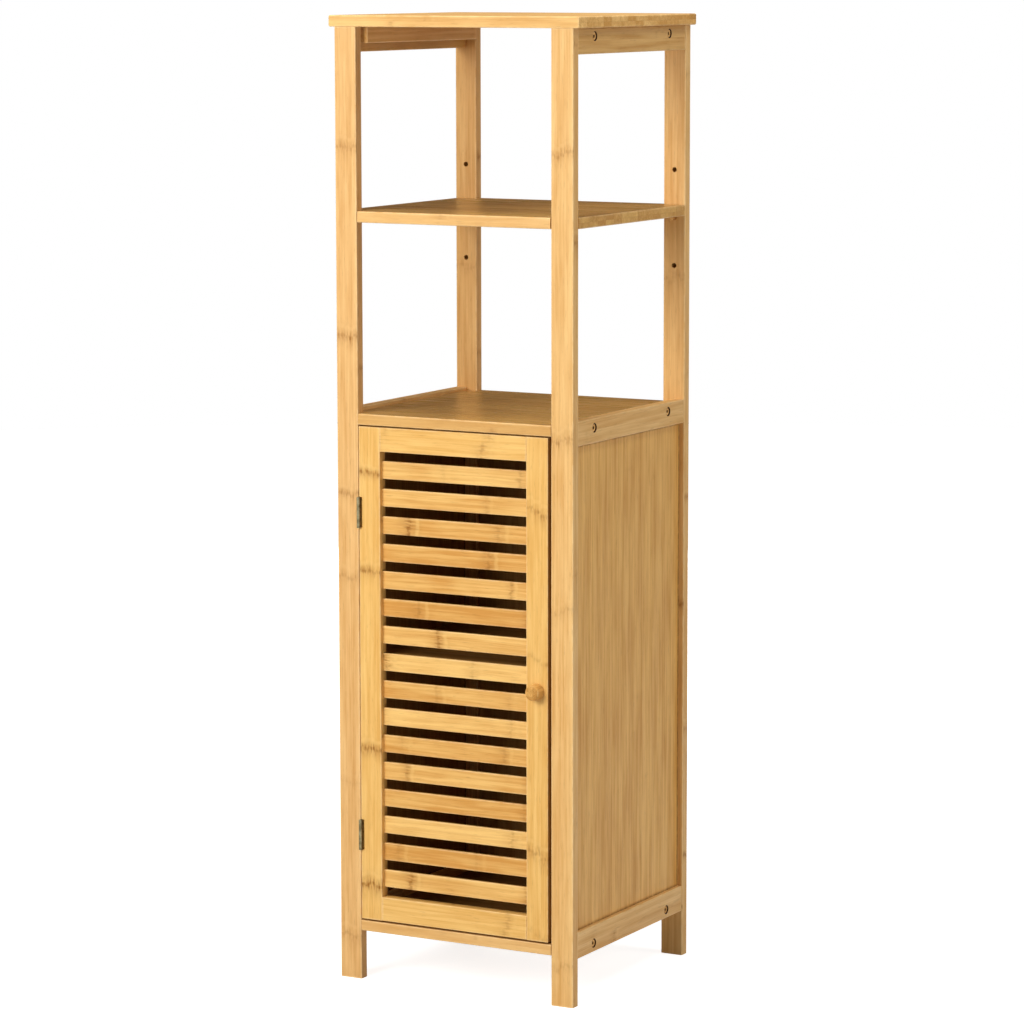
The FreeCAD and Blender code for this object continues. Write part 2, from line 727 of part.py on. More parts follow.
def stile(side):
    left = side == "left"
    corner = (DOOR_LEFT if left else f"{DOOR_RIGHT} - stile_width", FRONT, DOOR_BOTTOM)
    body = board(f"door_stile_{side}", corner, ("stile_width", "door_thickness", DOOR_HEIGHT))
    round_edges(body, "door_round", lambda edge: runs_along(edge, "z"))
    inner = "stile_width" if left else "0"
    inward = -1 if left else 1

    mortise = trench(body, "SlatMortise", "x", inward, (inner, "slat_recess", FIRST_SLAT),
                     "slat_thickness", "slat_height", "slat_tenon + panel_slack")
    row = body.newObject("PartDesign::LinearPattern", "SlatMortises")
    row.Originals = [mortise]
    row.Direction = (origin_feature(body, "Z_Axis"), [""])
    bind(row, Length=f"{SLAT_PITCH} * (slat_count - 1)", Occurrences="slat_count")
    body.Tip = row
    doc.recompute()

    heights = list(DOOR_DOWELS) + [f"{DOOR_HEIGHT} - door_rail_height + {height}" for height in DOOR_DOWELS]
    bores(body, "Dowels", "x", inward, (inner, "0", "0"), "dowel_diameter",
          [("door_thickness / 2", height) for height in heights], "dowel_in_stile")
    return body


def hinge_mortises(body):
    """Lets both hinges into the door's edge, with a relief beside the knuckles and their screw holes."""
    for name, level in HINGE_LEVELS.items():
        base = f"{level} - {DOOR_BOTTOM}"
        start = ("0", "0", f"{base} - hinge_play")
        opening = "hinge_length + 2 * hinge_play"
        trench(body, f"Hinge{name.title()}", "x", 1, start,
               "hinge_leaf_reach + hinge_play", opening, HINGE_MORTISE)
        trench(body, f"HingeRelief{name.title()}", "y", 1, start,
               f"{HINGE_MORTISE} + hinge_relief_width", opening, "hinge_relief_depth")
        holes = [("hinge_screw_setback", height) for height in HINGE_SCREWS]
        bores(body, f"HingeScrews{name.title()}", "x", 1, (HINGE_MORTISE, "0", base), "screw_diameter",
              holes, "screw_length - screw_head_height")


KNOB_X = f"({DOOR_RIGHT} - stile_width / 2)"


def knob_hole(body):
    """The knob's screw hole through the right stile, with a counterbore for its head behind."""
    centre = [("stile_width / 2", f"{DOOR_HEIGHT} / 2")]
    bores(body, "KnobScrew", "y", 1, ("0", "0", "0"), "knob_screw_diameter", centre,
          "door_thickness + cut_overrun")
    bores(body, "KnobScrewHead", "y", -1, ("0", "door_thickness", "0"), "knob_screw_head_diameter", centre,
          "knob_screw_head_height")


hinge_mortises(stile("left"))
knob_hole(stile("right"))


def door_rail(name, bottom):
    body = board(f"door_rail_{name}", (f"{DOOR_LEFT} + stile_width", FRONT, bottom),
                 (OPENING_WIDTH, "door_thickness", "door_rail_height"))
    round_edges(body, "door_round", lambda edge: runs_along(edge, "x"))
    dowels = [("door_thickness / 2", height) for height in DOOR_DOWELS]
    bores(body, "LeftDowels", "x", 1, ("0", "0", "0"), "dowel_diameter", dowels, "dowel_in_rail")
    bores(body, "RightDowels", "x", -1, (OPENING_WIDTH, "0", "0"), "dowel_diameter", dowels,
          "dowel_in_rail")
    return body


STRIKE_BASE = f"({DOOR_TOP} - strike_top_margin - strike_height)"
TOP_DOOR_RAIL = f"({DOOR_TOP} - door_rail_height)"
door_rail("bottom", DOOR_BOTTOM)
strike_holes = [(f"{CATCH_X} {sign} strike_screw_spacing / 2 - ({DOOR_LEFT} + stile_width)",
                 f"{STRIKE_BASE} + strike_height / 2 - {TOP_DOOR_RAIL}") for sign in "+-"]
bores(door_rail("top", TOP_DOOR_RAIL), "StrikeScrews", "y", -1, ("0", "door_thickness", "0"),
      "screw_diameter", strike_holes, "screw_length - strike_thickness")


def door_dowels():
    pieces = []
    for index, height in enumerate(DOOR_DOWELS, start=1):
        start = (f"{DOOR_RIGHT} - stile_width + dowel_in_stile", f"{FRONT} + door_thickness / 2",
                 f"{TOP_DOOR_RAIL} + {height}")
        dowel = rod(f"DoorDowel{index}", start, "-x", "dowel_diameter", "dowel_in_stile + dowel_in_rail")
        pieces += four_ways(f"DoorDowel{index}", dowel, (0, 0, 1), (DOOR_CENTRE, "0", DOOR_MIDDLE))
    group("door_dowels", pieces)


door_dowels()


# Slats, each in a mortise at both ends, counted from the top

def slat(number):
    steps = int(value("slat_count")) - number
    corner = (f"{DOOR_LEFT} + stile_width - slat_tenon", f"{FRONT} + slat_recess",
              f"{DOOR_BOTTOM} + {FIRST_SLAT} + {steps} * {SLAT_PITCH}")
    body = board(f"door_slat_{number:02d}", corner,
                 (f"{OPENING_WIDTH} + 2 * slat_tenon", "slat_thickness", "slat_height"))
    round_edges(body, "slat_round", lambda edge: runs_along(edge, "x"))


for number in range(1, int(value("slat_count")) + 1):
    slat(number)


# Turned knob and its screw

def knob():
    body = doc.addObject("PartDesign::Body", "knob")
    sketch = sketch_on(body, "z", "Profile", ("0", "0", "0"))
    hole = "knob_screw_diameter / 2"
    hole_end = "knob_length - knob_screw_reach"
    outline(sketch, [("0", "0"), ("knob_front_diameter / 2", "0"), ("knob_base_diameter / 2", "knob_length"),
                     (hole, "knob_length"), (hole, hole_end), ("0", hole_end)])
    turned = body.newObject("PartDesign::Revolution", "Turned")
    turned.Profile = sketch
    turned.ReferenceAxis = (sketch, ["V_Axis"])
    turned.Angle = 360
    doc.recompute()
    round_edges(body, "knob_round", lambda edge: edge.Closed and lies_at(edge, "y", "0"))
    round_edges(body, "knob_base_round", lambda edge: edge.Closed and lies_at(edge, "y", "knob_length")
                and edge.Curve.Radius > value(hole) + value("knob_round"))
    place(body, KNOB_X, f"{FRONT} - knob_length", DOOR_MIDDLE)
    keep(body, "knob")


knob()

knob_screw_at = (KNOB_X, DOOR_REAR, DOOR_MIDDLE)
keep(fuse("KnobScrew", [
    rod("KnobScrewHead", knob_screw_at, "-y", "knob_screw_head_diameter", "knob_screw_head_height"),
    rod("KnobScrewShank", knob_screw_at, "-y", "knob_screw_diameter", "door_thickness + knob_screw_reach"),
]), "knob_screw")


# Butt hinges: three knuckles on a pin; the post leaf has the outer two, the door leaf the middle one

def screw_sink(name, face, way):
    """The cone of a countersunk screw head, and of the sink that takes it."""
    return cone(name, face, way, "screw_head_diameter", "screw_diameter", "screw_head_height")


def small_screw(name, face, way):
    """Countersunk wood screw whose head lies flush with the point given."""
    head = screw_sink(f"{name}Head", face, way)
    return fuse(name, [head, rod(f"{name}Shank", face, way, "screw_diameter", "screw_length")])


def hinge_leaf(name, level, plate_x, screw_x, way, windows, bore):
    """A plate with its barrel, less the other leaf's knuckles, the pin's bore and the screw holes."""
    plate = box(f"{name}Plate", (plate_x, HINGE_Y, level),
                ("hinge_leaf", f"{FRONT} + hinge_leaf_reach - {HINGE_Y}", "hinge_length"))
    barrel = rod(f"{name}Barrel", (HINGE_X, HINGE_Y, level), "+z", "hinge_barrel_diameter", "hinge_length")
    reach = "(hinge_barrel_diameter / 2 + hinge_play)"
    tools = [rod(f"{name}Bore", (HINGE_X, HINGE_Y, level), "+z", bore, "hinge_length")]
    for index, (low, high) in enumerate(windows, start=1):
        corner = (f"{HINGE_X} - {reach}", f"{HINGE_Y} - {reach}", f"{level} + {low}")
        size = (f"2 * {reach}", f"2 * {reach}", f"{high} - ({low})")
        tools.append(box(f"{name}Window{index}", corner, size))
    for index, height in enumerate(HINGE_SCREWS, start=1):
        face = (screw_x, f"{FRONT} + hinge_screw_setback", f"{level} + {height}")
        tools.append(screw_sink(f"{name}Sink{index}", face, way))
    return cut(name, fuse(name, [plate, barrel]), tools)


THIRD = "(hinge_length / 3)"
MIDDLE_WINDOW = [(f"{THIRD} - hinge_play / 2", f"2 * {THIRD} + hinge_play / 2")]
OUTER_WINDOWS = [("-cut_overrun", f"{THIRD} + hinge_play / 2"),
                 (f"2 * {THIRD} - hinge_play / 2", "hinge_length + cut_overrun")]
POST_FACE = f"(hinge_leaf - {POST_INNER})"
DOOR_FACE = f"({POST_FACE} + hinge_leaf_gap)"

hinge_pins, post_screws, leaf_screws = [], [], []
for place_name, level in HINGE_LEVELS.items():
    title = place_name.title()
    keep(hinge_leaf(f"PostLeaf{title}", level, f"-{POST_INNER}", POST_FACE, "-x", MIDDLE_WINDOW,
                    "hinge_pin_diameter"), f"hinge_post_leaf_{place_name}")
    keep(hinge_leaf(f"DoorLeaf{title}", level, DOOR_FACE, DOOR_FACE, "+x", OUTER_WINDOWS,
                    "hinge_pin_diameter + 2 * hinge_running"), f"hinge_door_leaf_{place_name}")
    pin_at = (HINGE_X, HINGE_Y, level)
    hinge_pins.append(rod(f"HingePin{title}", pin_at, "+z", "hinge_pin_diameter", "hinge_length"))
    for index, height in enumerate(HINGE_SCREWS, start=1):
        spot = (f"{FRONT} + hinge_screw_setback", f"{level} + {height}")
        post_screws.append(small_screw(f"PostScrew{title}{index}", (POST_FACE, *spot), "-x"))
        leaf_screws.append(small_screw(f"DoorScrew{title}{index}", (DOOR_FACE, *spot), "+x"))
group("hinge_pins", hinge_pins)


# Magnetic catch under the cabinet top, strike plate on the door

def catch():
    level = "(cabinet_top_level - catch_height)"
    under_ears = "cabinet_top_level - catch_ear_height"
    block = box("CatchBlock", (f"{CATCH_X} - catch_width / 2", CATCH_FRONT, level),
                ("catch_width", "catch_depth", "catch_height"))
    ears = box("CatchEars", (f"{CATCH_X} - catch_width / 2 - catch_ear_width", CATCH_FRONT, under_ears),
               ("catch_width + 2 * catch_ear_width", "catch_ear_depth", "catch_ear_height"))
    magnet_at = (f"{CATCH_X} - magnet_width / 2", CATCH_FRONT,
                 f"{level} + (catch_height - magnet_height) / 2")
    magnet_size = ("magnet_width", "magnet_depth", "magnet_height")
    tools = [box("MagnetPocket", magnet_at, magnet_size)]
    for index, shift in enumerate(CATCH_SCREWS, start=1):
        face = (f"{CATCH_X} + {shift}", f"{CATCH_FRONT} + catch_ear_depth / 2", under_ears)
        tools.append(screw_sink(f"EarSink{index}", face, "+z"))
        tools.append(rod(f"EarHole{index}", face, "+z", "screw_diameter", "catch_ear_height"))
        post_screws.append(small_screw(f"CatchScrew{index}", face, "+z"))
    keep(cut("CatchHousing", fuse("CatchHousing", [block, ears]), tools), "catch_housing")
    keep(box("CatchMagnet", magnet_at, magnet_size), "catch_magnet")


def strike():
    plate = box("Strike", (f"{CATCH_X} - strike_width / 2", DOOR_REAR, STRIKE_BASE),
                ("strike_width", "strike_thickness", "strike_height"))
    tools = []
    for index, sign in enumerate("+-", start=1):
        face = (f"{CATCH_X} {sign} strike_screw_spacing / 2", f"{DOOR_REAR} + strike_thickness",
                f"{STRIKE_BASE} + strike_height / 2")
        tools.append(screw_sink(f"StrikeSink{index}", face, "-y"))
        tools.append(rod(f"StrikeHole{index}", face, "-y", "screw_diameter", "strike_thickness"))
        leaf_screws.append(small_screw(f"StrikeScrew{index}", face, "-y"))
    keep(cut("StrikePlate", plate, tools), "strike_plate")


catch()
strike()
group("carcass_screws", post_screws)
group("door_screws", leaf_screws)


# Check everything and write one file for each piece

doc.recompute()
for item in doc.Objects:
    if "Invalid" in item.State or "Error" in item.State:
        raise RuntimeError(f"{item.Label} did not compute")
os.makedirs("parts", exist_ok=True)
for item in NODES:
    shape = item.Shape
    if shape.isNull() or not shape.isValid():
        raise RuntimeError(f"{item.Label} has no valid shape")
    shape.exportStep(f"parts/{item.Label}.step")
    print(item.Label, len(shape.Solids), round(shape.Volume))
print(len(NODES), "pieces")
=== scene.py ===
# %% [markdown]
# A bamboo bathroom cabinet
#
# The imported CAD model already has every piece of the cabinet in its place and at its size. This lesson
# gives those pieces their looks: laminated bamboo under lacquer, dull metal fittings, soft studio light.

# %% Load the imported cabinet
import json
import math

import bpy
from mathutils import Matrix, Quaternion, Vector


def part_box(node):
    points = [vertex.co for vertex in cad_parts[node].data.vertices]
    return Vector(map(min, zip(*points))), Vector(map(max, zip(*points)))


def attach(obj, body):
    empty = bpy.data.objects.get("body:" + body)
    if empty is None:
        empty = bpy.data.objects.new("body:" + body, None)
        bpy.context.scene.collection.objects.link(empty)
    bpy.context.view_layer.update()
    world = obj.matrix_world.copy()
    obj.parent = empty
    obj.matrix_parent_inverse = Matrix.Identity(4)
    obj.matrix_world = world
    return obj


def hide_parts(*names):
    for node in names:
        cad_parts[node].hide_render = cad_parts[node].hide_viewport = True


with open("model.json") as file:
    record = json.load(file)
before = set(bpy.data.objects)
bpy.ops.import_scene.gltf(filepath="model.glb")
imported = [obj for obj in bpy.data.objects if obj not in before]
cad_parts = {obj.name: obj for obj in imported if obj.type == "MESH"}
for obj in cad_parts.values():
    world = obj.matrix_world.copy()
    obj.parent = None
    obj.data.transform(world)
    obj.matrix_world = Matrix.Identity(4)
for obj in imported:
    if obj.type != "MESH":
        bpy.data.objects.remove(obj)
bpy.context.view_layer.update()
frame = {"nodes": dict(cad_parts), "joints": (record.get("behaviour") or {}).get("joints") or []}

nodes = frame["nodes"]
scene = bpy.context.scene


# %% [markdown]
# The cabinet is seen from a little above its top, from the front right and far away, so its sides hardly
# converge. The place and the lens were worked out from the corners of the top, the posts, the shelves and
# the feet. A direction and a small roll are easier to read than three Euler angles, so the rotation is
# built from them.

# %% Place the camera
CAMERA_PLACE = Vector((2.3777, -4.3063, 1.2629))
YAW, PITCH, ROLL = 0.50457, -0.13754, -0.00159
FOCAL_PIXELS, PICTURE_PIXELS, SENSOR_MM = 3969.2, 1024, 36.0


def added(name, data):
    """A new object in the scene."""
    item = bpy.data.objects.new(name, data)
    scene.collection.objects.link(item)
    return item


looks = Vector((-math.sin(YAW) * math.cos(PITCH), math.cos(YAW) * math.cos(PITCH), math.sin(PITCH)))
camera = added("camera", bpy.data.cameras.new("camera"))
camera.location = CAMERA_PLACE
camera.rotation_mode = "QUATERNION"
camera.rotation_quaternion = looks.to_track_quat("-Z", "Y") @ Quaternion((0, 0, 1), ROLL)
camera.data.sensor_width = SENSOR_MM
camera.data.lens = FOCAL_PIXELS / PICTURE_PIXELS * SENSOR_MM
scene.camera = camera
print("lens", round(camera.data.lens, 1), "mm")

# %% [markdown]
# A shader drawn by hand is a web of boxes and wires. In code the same web reads better as sums, so this
# small helper adds one node at a time and hands back its output. Anything may go into an input: another
# output, a number or a colour. It is called w below, because it is in nearly every sum.

# %% A helper for shader nodes
class Wiring:
    """Adds nodes to one node tree and wires them."""

    def __init__(self, tree):
        self.tree = tree

    def put(self, kind, *values, output=0, **settings):
        """A new node with its settings and its first inputs; gives back one output."""
        made = self.tree.nodes.new("ShaderNode" + kind)
        for name, setting in settings.items():
            setattr(made, name, setting)
        for socket, value in zip(made.inputs, values):
            self.feed(socket, value)
        return made.outputs[output]

    def feed(self, socket, value):
        if isinstance(value, bpy.types.NodeSocket):
            self.tree.links.new(value, socket)
        else:
            socket.default_value = value

    def fill(self, node, values):
        """Feeds the inputs that a table names."""
        for socket, value in values.items():
            self.feed(node.inputs[socket], value)

    def math(self, operation, *values):
        return self.put("Math", *values, operation=operation)

    def plus(self, first, *others):
        for other in others:
            first = self.math("ADD", first, other)
        return first

    def times(self, first, *others):
        for other in others:
            first = self.math("MULTIPLY", first, other)
        return first

    def minus(self, first, second):
        return self.math("SUBTRACT", first, second)

    def rise(self, value, start, end, low=0.0, high=1.0):
        """Goes smoothly from low to high while the value goes from start to end."""
        return self.put("MapRange", value, start, end, low, high, interpolation_type="SMOOTHSTEP")

    def close_to(self, distance, core, rim):
        """One within core of zero, fading to nothing at rim, on both sides."""
        return self.rise(self.math("ABSOLUTE", distance), core, rim, 1.0, 0.0)


print("wiring helper ready")

# %% [markdown]
# Nature is never even, so every finish here mixes two tools. Fractal noise varies smoothly and makes
# fibres, clouds and tarnish. White noise rolls dice: a whole strip, or a whole node of the cane, gets one
# number for its tone or its strength. Colours are written as a picture editor shows them and turned to
# light by one small function.

# %% Noise, dice and paint
class Texture(Wiring):
    """Wiring with the patterns that the finishes share."""

    def vector(self, x, y, z):
        return self.put("CombineXYZ", x, y, z)

    def parts(self, vector):
        made = self.tree.nodes.new("ShaderNodeSeparateXYZ")
        self.feed(made.inputs[0], vector)
        return made.outputs[0], made.outputs[1], made.outputs[2]

    def place(self):
        """Where a point of the surface is, in metres; the node's output for it is Object."""
        return self.put("TexCoord", output=3)

    def normal(self):
        """Which way the surface looks there; the node's output for it is Normal."""
        return self.put("TexCoord", output=1)

    def scaled(self, place, rates):
        """A place with each direction multiplied by its own rate, or all three by one."""
        rates = (rates,) * 3 if isinstance(rates, float) else rates
        return self.put("VectorMath", place, rates, operation="MULTIPLY")

    def length(self, vector):
        return self.put("VectorMath", vector, operation="LENGTH", output=1)

    def noise(self, place, detail=2.0, roughness=0.5):
        """Fractal noise at a place that is already scaled."""
        made = self.tree.nodes.new("ShaderNodeTexNoise")
        self.fill(made, {"Vector": place, "Scale": 1.0, "Detail": detail, "Roughness": roughness})
        return made.outputs[0]

    def patches(self, place, rates, detail, span, least=0.0, roughness=0.5):
        """Patches of noise from least to one; span is the part of the noise that is drawn out to that."""
        return self.rise(self.noise(self.scaled(place, rates), detail, roughness), *span, least)

    def swing(self, number, *factors):
        """A number from 0 to 1 as one from minus a half to a half, multiplied by the factors."""
        return self.times(self.plus(number, -0.5), *factors)

    def dice(self, place):
        """Three numbers from 0 to 1 that are the same wherever the place is the same."""
        made = self.tree.nodes.new("ShaderNodeTexWhiteNoise")
        made.noise_dimensions = "3D"
        self.feed(made.inputs["Vector"], place)
        return self.parts(made.outputs["Color"])

    def mix(self, factor, first, second):
        """One colour over another; inputs 6 and 7 and output 2 of a Mix node are its colours."""
        made = self.tree.nodes.new("ShaderNodeMix")
        made.data_type = "RGBA"
        for socket, value in zip((made.inputs[0], made.inputs[6], made.inputs[7]), (factor, first, second)):
            self.feed(socket, value)
        return made.outputs[2]


def paint(red, green, blue):
    """A colour as a picture editor shows it, 0 to 255, turned to the light that it stands for."""
    def light(value):
        share = value / 255
        return share / 12.92 if share <= 0.04045 else ((share + 0.055) / 1.055) ** 2.4
    return light(red), light(green), light(blue), 1.0


print("honey", [round(v, 3) for v in paint(240, 188, 118)])

# %% [markdown]
# A bamboo board is glued up from long strips, cut from the wall of the cane. A picture could be wrapped
# round each board, but then edges and ends would not match its faces. This finish is solid instead: it
# knows the place inside the board (along the grain, across it, through it), so strips show on faces,
# layers on edges and cut fibres on the ends. It starts with the strips: each one gets its own tone, and
# a thin darker line of glue runs where two of them meet.

# %% Strips and glue lines
GLUE_WIDTH = 0.0004


def strips(w, given):
    """The three directions inside the board, the strip's two dice and the glue lines."""
    along, across, through = w.parts(given["Place"])
    row = w.math("DIVIDE", across, given["Strip width"])
    layer = w.math("DIVIDE", through, given["Strip depth"])
    which = w.vector(w.math("FLOOR", row), w.math("FLOOR", layer), given["Seed"])
    tone, slide, _ = w.dice(which)
    beside = w.times(w.math("PINGPONG", row, 0.5), given["Strip width"])
    below = w.times(w.math("PINGPONG", layer, 0.5), given["Strip depth"])
    glue = w.close_to(w.math("MINIMUM", beside, below), 0.0, GLUE_WIDTH)
    return (along, across, through), tone, slide, glue


print("glue lines", round(GLUE_WIDTH * 1000, 1), "mm to each side")

# %% [markdown]
# Bamboo is a bundle of straight fibres. Seen from a step away they show as streaks a few millimetres
# wide; close up there are hairs under a millimetre, and broad clouds lie under both. Short dark flecks are
# single bundles that the plane has cut open. All are the same noise, drawn out along the grain by scaling
# the long direction far less than the other two, and a slow drift keeps them from being ruled lines. In
# sliced sheets, such as the panels, they run on a little longer.

# %% Fibres along the grain
FIBRES = {  # name: (cycles a metre along the grain, across it, span of the noise)
    "hair": (18.0, 900.0, (0.32, 0.68)),
    "streak": (6.0, 240.0, (0.32, 0.68)),
    "cloud": (10.0, 45.0, (0.30, 0.70)),
    "fleck": (55.0, 600.0, (0.57, 0.72)),
}
FIBRE_DETAIL, FIBRE_ROUGHNESS = 2.0, 0.6
STRIP_SHIFT = 7.0  # metres, the farthest that the dice slide a strip's fibres
DRIFT_RATES, DRIFT_WIDTH = (9.0, 40.0, 40.0), 0.005  # cycles a metre along and across, metres


def fibres(w, given, directions, slide):
    """Each kind of fibre as a number from 0 to 1; slide keeps neighbouring strips apart."""
    along, across, through = directions
    start = w.plus(w.math("DIVIDE", along, given["Stretch"]), w.times(slide, STRIP_SHIFT))
    drift = w.noise(w.scaled(w.vector(start, across, through), DRIFT_RATES))
    spot = w.vector(start, w.plus(across, w.times(drift, DRIFT_WIDTH)), through)
    found = {}
    for name, (along_rate, across_rate, span) in FIBRES.items():
        rates = (along_rate, across_rate, across_rate)
        found[name] = w.patches(spot, rates, FIBRE_DETAIL, span, roughness=FIBRE_ROUGHNESS)
    return found


print("fibres:", ", ".join(FIBRES))

# %% [markdown]
# Every hand's width or two the cane had a node, a cross wall, where the fibres twist past each other.
# Planed flat it leaves a soft brown cloud, a bar a few millimetres wide, and a cluster of short dark
# dashes where the twisted bundles were cut. The strips of a post were glued up a little out of step, so the
# mark jumps from one to the next. Most marks are faint and a few are strong. They are placed along the
# grain like fence posts with uneven gaps, and the dice decide the strength of each.

# %% Marks of the cane's nodes
LEAST_SPACING, SPACING_SPREAD = 0.75, 0.5  # of the mean spacing, and what chance adds
START_SPREAD, GAP_SPREAD = 9.0, 0.6  # in spacings: where the first node is, how uneven the gaps are
MARK_WAVE, MARK_JUMP = 0.008, 0.011  # how far a mark wavers, and jumps from strip to strip
MARK_REACH, MARK_SPREAD = 0.005, 0.007  # half the width of the narrowest, and what chance adds
CLOUD, DASHES = (0.1, 2.2), (0.15, 1.0)  # in reaches: where each is full and where it ends
BAR, RIDGE = (0.0007, 0.0030), (0.0008, 0.0040)  # the same in metres
RIDGE_PLACE = 1.1  # in reaches from the middle of the mark
WAVE_RATES = (25.0, 90.0, 90.0)  # cycles a metre
CLOUD_PATCHES = (40.0, 160.0, 160.0), 2.0, (0.35, 0.65), 0.30  # rates, detail, span, least
DASH_PATCHES = (80.0, 420.0, 420.0), 2.0, (0.46, 0.64)
BAR_PATCHES = (60.0, 200.0, 200.0), 2.0, (0.36, 0.56), 0.25
CLOUD_SHARE, DASH_SHARE, BAR_SHARE = 0.36, 0.44, 0.30
FAINTEST, FAINT_POWER = 0.20, 1.4  # strength of the faintest mark, and how rare strong ones are
OTHER_DICE, LAYER_STEP = 17.0, 31.0  # keep the dice of canes and of layers apart


def cane_nodes(w, given, directions, slide):
    """How brown a mark is at this place, and how much its ridge is paler than the wood."""
    along, across, through = directions
    cane = w.math("FLOOR", w.math("DIVIDE", across, given["Cane width"]))
    layer = w.math("FLOOR", w.math("DIVIDE", through, given["Strip depth"]))
    stretch, start, _ = w.dice(w.vector(cane, layer, w.plus(given["Seed"], OTHER_DICE)))
    spacing = w.times(given["Node spacing"], w.plus(LEAST_SPACING, w.times(stretch, SPACING_SPREAD)))
    count = w.plus(w.math("DIVIDE", along, spacing), w.times(start, START_SPREAD))
    which = w.vector(w.math("FLOOR", count), w.plus(cane, w.times(layer, LAYER_STEP)), given["Seed"])
    strength, shift, width = w.dice(which)
    away = w.times(w.plus(w.math("FRACT", count), -0.5, w.swing(shift, GAP_SPREAD)), spacing)

    wave = w.noise(w.scaled(given["Place"], WAVE_RATES))
    bent = w.plus(away, w.swing(wave, MARK_WAVE), w.swing(slide, MARK_JUMP))
    reach = w.plus(MARK_REACH, w.times(width, MARK_SPREAD))
    reaches = w.math("DIVIDE", bent, reach)
    cloud = w.times(w.close_to(reaches, *CLOUD), w.patches(given["Place"], *CLOUD_PATCHES), CLOUD_SHARE)
    dashes = w.times(w.close_to(reaches, *DASHES), w.patches(given["Place"], *DASH_PATCHES), DASH_SHARE)
    bar = w.times(w.close_to(bent, *BAR), w.patches(given["Place"], *BAR_PATCHES), BAR_SHARE)
    rarer = w.times(w.math("POWER", strength, FAINT_POWER), 1.0 - FAINTEST)
    strength = w.times(w.plus(FAINTEST, rarer), given["Nodes"])
    ridge = w.close_to(w.minus(bent, w.times(reach, RIDGE_PLACE)), *RIDGE)
    return w.put("Clamp", w.times(w.plus(cloud, dashes, bar), strength)), w.times(ridge, strength)


print("marks reach up to", round(1000 * (MARK_REACH + MARK_SPREAD), 1), "mm to each side")

# %% [markdown]
# Two more places look different on real boards. Along the edges the lacquer is thinner and the wood is
# paler: partly worn through by the sander, partly a painted highlight where the rounded edges catch the
# light.
# On the cut ends the fibres show as dark dots, and the wood drinks more lacquer, so it is deeper in tone. The
# edge is found from the distances to the board's faces: near an edge, two of the three are small, so the
# middle one of the three tells.

# %% Worn edges and cut ends
# the pale edges are partly real wear and partly a painted highlight
EDGE_REACH = 0.0004, 0.0024  # distance from an edge where the wear is full, and where it ends
EDGE_PATCHES = 90.0, 3.0, (0.30, 0.62), 0.3  # rate, detail, span, least
END_FACES = 0.55, 0.9
CUT_FIBRES = 1300.0, 1.0, (0.52, 0.66)


def worn_and_lit_edges(w, given):
    """One along the board's edges, broken up a little, and zero inside its faces."""
    near = []
    for place, reach in zip(w.parts(given["Place"]), w.parts(given["Reach"])):
        near.append(w.math("MINIMUM", place, w.minus(reach, place)))
    low = w.math("MINIMUM", near[0], near[1])
    high = w.math("MAXIMUM", near[0], near[1])
    middle = w.math("MAXIMUM", low, w.math("MINIMUM", high, near[2]))
    return w.times(w.close_to(middle, *EDGE_REACH), w.patches(given["Place"], *EDGE_PATCHES))


def cut_ends(w, given, directions):
    """How far the surface faces along the grain, and the dots of the cut fibres there."""
    _, across, through = directions
    end = w.rise(given["Facing"], *END_FACES)
    return end, w.times(end, w.patches(w.vector(0.0, across, through), *CUT_FIBRES))


print("edges worn over", round(EDGE_REACH[1] * 1000, 1), "mm")

# %% [markdown]
# The colour of the bamboo is built up as a painter would do it. Underneath is a tone between pale and deep,
# moved by the strip, its fibres and the cut ends. Pale ridges and the worn edges, partly a painted highlight,
# go over it, then brown glue lines, dots and flecks, the stain of the nodes, and last the painted shade of
# the inside.

# %% Mix the colour of the bamboo
NODE_STAIN, WEAR_AND_HIGHLIGHT = paint(148, 94, 34), paint(255, 226, 172)
FIBRE_SHARES = {"hair": 0.17, "streak": 0.41, "cloud": 0.42}
EVEN_TONE = 0.48  # from pale, 0, to deep, 1
END_TONE, END_VARIETY = 0.17, 0.5  # how much deeper and how much more mixed a cut end is
RIDGE_SHARE, WEAR_AND_HIGHLIGHT_SHARE, INSIDE_SHADE_SHARE = 0.50, 0.40, 0.60
GLUE_SHARE, DOT_SHARE, FLECK_SHARE = 0.16, 0.35, 0.16  # how much brown each of them adds


def bamboo_colour(w, given, tone, fibre, glue, mark, ridge, edge, end, dots):
    depth = w.swing(tone, w.plus(given["Variety"], w.times(end, END_VARIETY)))
    for name, share in FIBRE_SHARES.items():
        depth = w.plus(depth, w.swing(fibre[name], given["Streaks"], share))
    depth = w.plus(EVEN_TONE, depth, w.times(end, END_TONE))
    colour = w.mix(w.put("Clamp", depth), given["Pale"], given["Deep"])
    colour = w.mix(w.times(ridge, RIDGE_SHARE), colour, given["Pale"])
    # pale edges: partly real wear, partly a painted highlight where the edges catch the light
    colour = w.mix(w.times(edge, WEAR_AND_HIGHLIGHT_SHARE), colour, WEAR_AND_HIGHLIGHT)
    specks = w.plus(w.times(glue, GLUE_SHARE), w.times(dots, DOT_SHARE),
                    w.times(fibre["fleck"], given["Streaks"], FLECK_SHARE))
    colour = w.mix(w.put("Clamp", specks), colour, given["Brown"])
    colour = w.mix(mark, colour, NODE_STAIN)
    # painted shade: faces that look into the closed part, and the door's latch edge, turn dark brown
    return w.mix(w.times(given["Inside"], INSIDE_SHADE_SHARE), colour, given["Brown"])


print("fibres move the tone by up to", round(sum(FIBRE_SHARES.values()) / 2, 2))

# %% [markdown]
# Now the parts come together in one node group with a plug for everything that differs from board to
# board. A group keeps the 41 bamboo materials short, and a change to the wood is made in one place.

# %% Put the bamboo together
ROUGHER = 0.10, 0.15, 0.10, 0.18, 0.20  # by streaks, marks, worn edges, cut ends and the bare inside
HAIR_HEIGHT, MARK_DEPTH, GLUE_DEPTH = 0.5, 0.6, 0.7  # where a cut fibre is 1 deep


